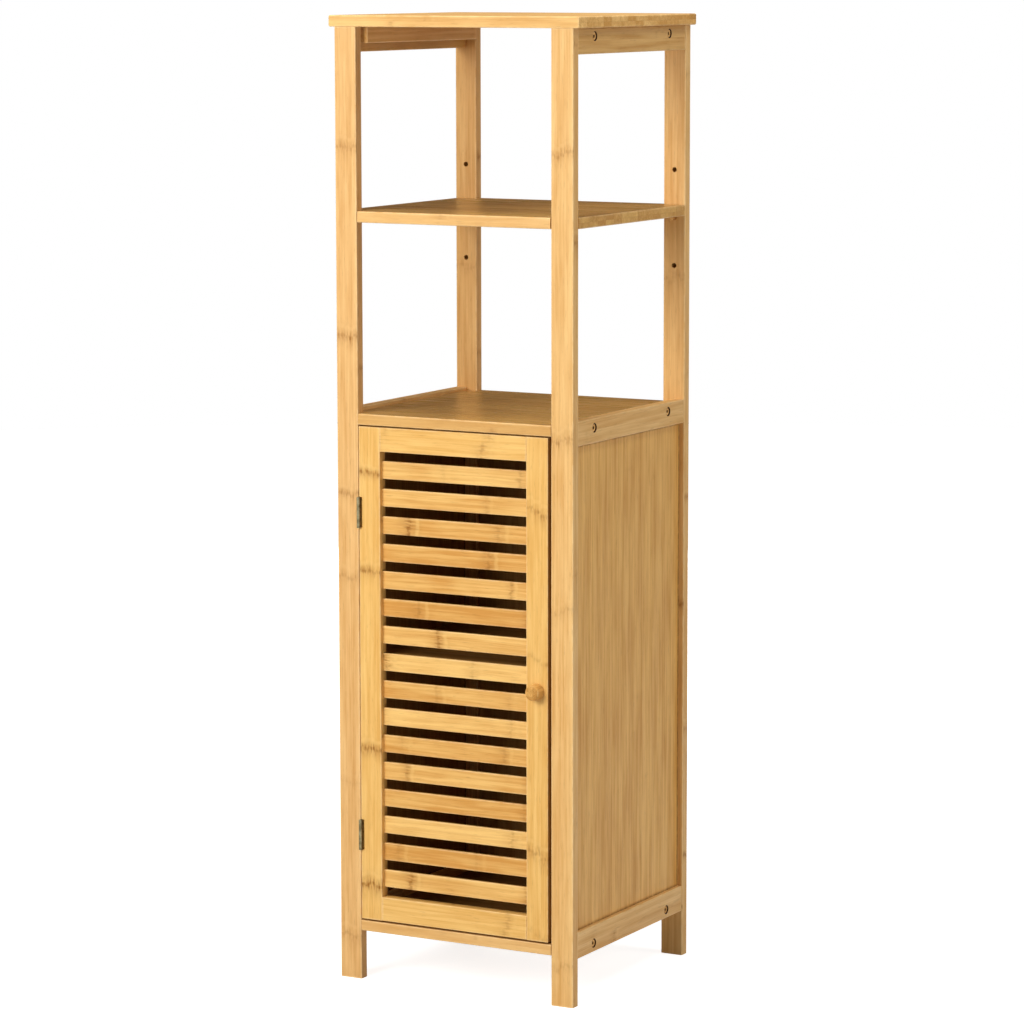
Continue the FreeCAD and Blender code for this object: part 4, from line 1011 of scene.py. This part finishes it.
material, w = new_material("pale_floor")
w.tree.nodes.clear()
paper = w.put("BsdfDiffuse", (FLOOR_GREY, FLOOR_GREY, FLOOR_GREY, 1.0))
lift = w.times(seen_directly(w), w.rise(w.length(w.place()), *LIFT_SPAN, FLOOR_LIFT, 1.0))
glow = w.put("Emission", WHITE, lift)
below = w.put("NewGeometry", output=6)  # Backfacing
clear = w.put("MixShader", below, w.put("AddShader", paper, glow), w.put("BsdfTransparent"))
w.feed(w.tree.nodes.new("ShaderNodeOutputMaterial").inputs[0], clear)
mesh.materials.append(material)
print("floor", 2 * FLOOR_RADIUS, "m wide")

# %% [markdown]
# The world works the same way: it is white where it is seen and dim where it lights. A bright one would
# light all faces alike and wash out the shadows.

# %% Set up the white world
AMBIENT = 0.06  # how much of its white the world lights with
world = bpy.data.worlds.new("studio")
scene.world = world
world.use_nodes = True
w = Wiring(world.node_tree)
w.tree.nodes.clear()
strength = w.put("MapRange", seen_directly(w), 0.0, 1.0, AMBIENT, 1.0)
w.feed(w.tree.nodes.new("ShaderNodeOutputWorld").inputs[0], w.put("Background", WHITE, strength))
print("world lights with", AMBIENT, "of its white")

# %% [markdown]
# The front of the cabinet and its top are brightest, its right side gets a little more than half of that,
# and the shelves, which lie in the shade of the top, about a quarter. So the main lamp is a softbox in
# front, a little to the left and above the top: the top and the shelf throw soft shadows on the rear posts.
# One hangs overhead and reaches out to the front, so the front of each shelf catches some of it beyond the
# shadow of the board above. One slants in over the right side, so the shelves brighten to the right. One
# lights that side from behind, a weak one fills in from the front right, and one behind keeps the back from
# going black. Each is set by how bright it makes a white card, because watts depend on the distance.

# %% Hang the lamps
def softbox(name, place, target, size, level):
    """A lamp of a width and a height; level is how bright a white card is at the target that faces it."""
    lamp = bpy.data.lights.new(name, "AREA")
    lamp.shape = "RECTANGLE"
    lamp.size, lamp.size_y = size
    away = Vector(target) - Vector(place)
    lamp.energy = level * math.pi ** 2 * away.length_squared
    item = added(name, lamp)
    item.location = place
    item.rotation_mode = "QUATERNION"
    item.rotation_quaternion = away.to_track_quat("-Z", "Y")
    print(name, round(lamp.energy, 1), "W at", round(away.length, 2), "m")
    return item


CENTRE = (0.0, 0.0, 0.62)
softbox("key_lamp", (-0.65, -2.75, 1.74), CENTRE, (1.6, 1.6), 0.93)
softbox("top_lamp", (0.00, -0.45, 3.30), (0.0, 0.0, 1.2), (0.4, 0.9), 0.60)
softbox("slant_lamp", (1.50, 0.20, 3.00), (0.0, 0.0, 0.9), (0.8, 0.8), 0.30)
softbox("side_lamp", (3.20, 0.50, 1.75), (0.0, 0.0, 0.8), (1.4, 1.4), 0.19)
softbox("fill_lamp", (2.70, -1.60, 0.90), CENTRE, (1.0, 1.6), 0.09)
softbox("back_lamp", (-1.60, 3.20, 0.90), CENTRE, (1.6, 1.6), 0.50).visible_glossy = False

# %% [markdown]
# Lacquered boards seen at a flat angle mirror what is behind the cabinet. With white there, the shelf
# would turn milky and lose the warm mirror image of its rear post. A photographer stands a dark card just
# out of view. This one is seen by reflections alone: it blocks no light and no camera sees it.

# %% Stand the card behind the cabinet
CARD_DISTANCE, CARD_HALF_WIDTH, CARD_HEIGHT = 2.4, 2.2, 2.5
FELT, FELT_ROUGHNESS = paint(46, 40, 34), 0.9
back = Vector((looks.x, looks.y, 0.0)).normalized()
across = Vector((back.y, -back.x, 0.0))
mesh = bpy.data.meshes.new("dark_card")
foot_left = back * CARD_DISTANCE - across * CARD_HALF_WIDTH
foot_right = back * CARD_DISTANCE + across * CARD_HALF_WIDTH
upright = Vector((0.0, 0.0, CARD_HEIGHT))
mesh.from_pydata([foot_left, foot_right, foot_right + upright, foot_left + upright], [], [(0, 1, 2, 3)])
card = added("dark_card", mesh)
for kind in ("camera", "diffuse", "transmission", "volume_scatter", "shadow"):
    setattr(card, f"visible_{kind}", False)
material, w = new_material("black_felt")
w.fill(w.tree.nodes["Principled BSDF"], {"Base Color": FELT, "Roughness": FELT_ROUGHNESS})
mesh.materials.append(material)
print("card", round(2 * CARD_HALF_WIDTH, 2), "m wide")

# %% [markdown]
# The Standard view shows colours as they are written.

# %% Finish
scene.view_settings.view_transform = "Standard"
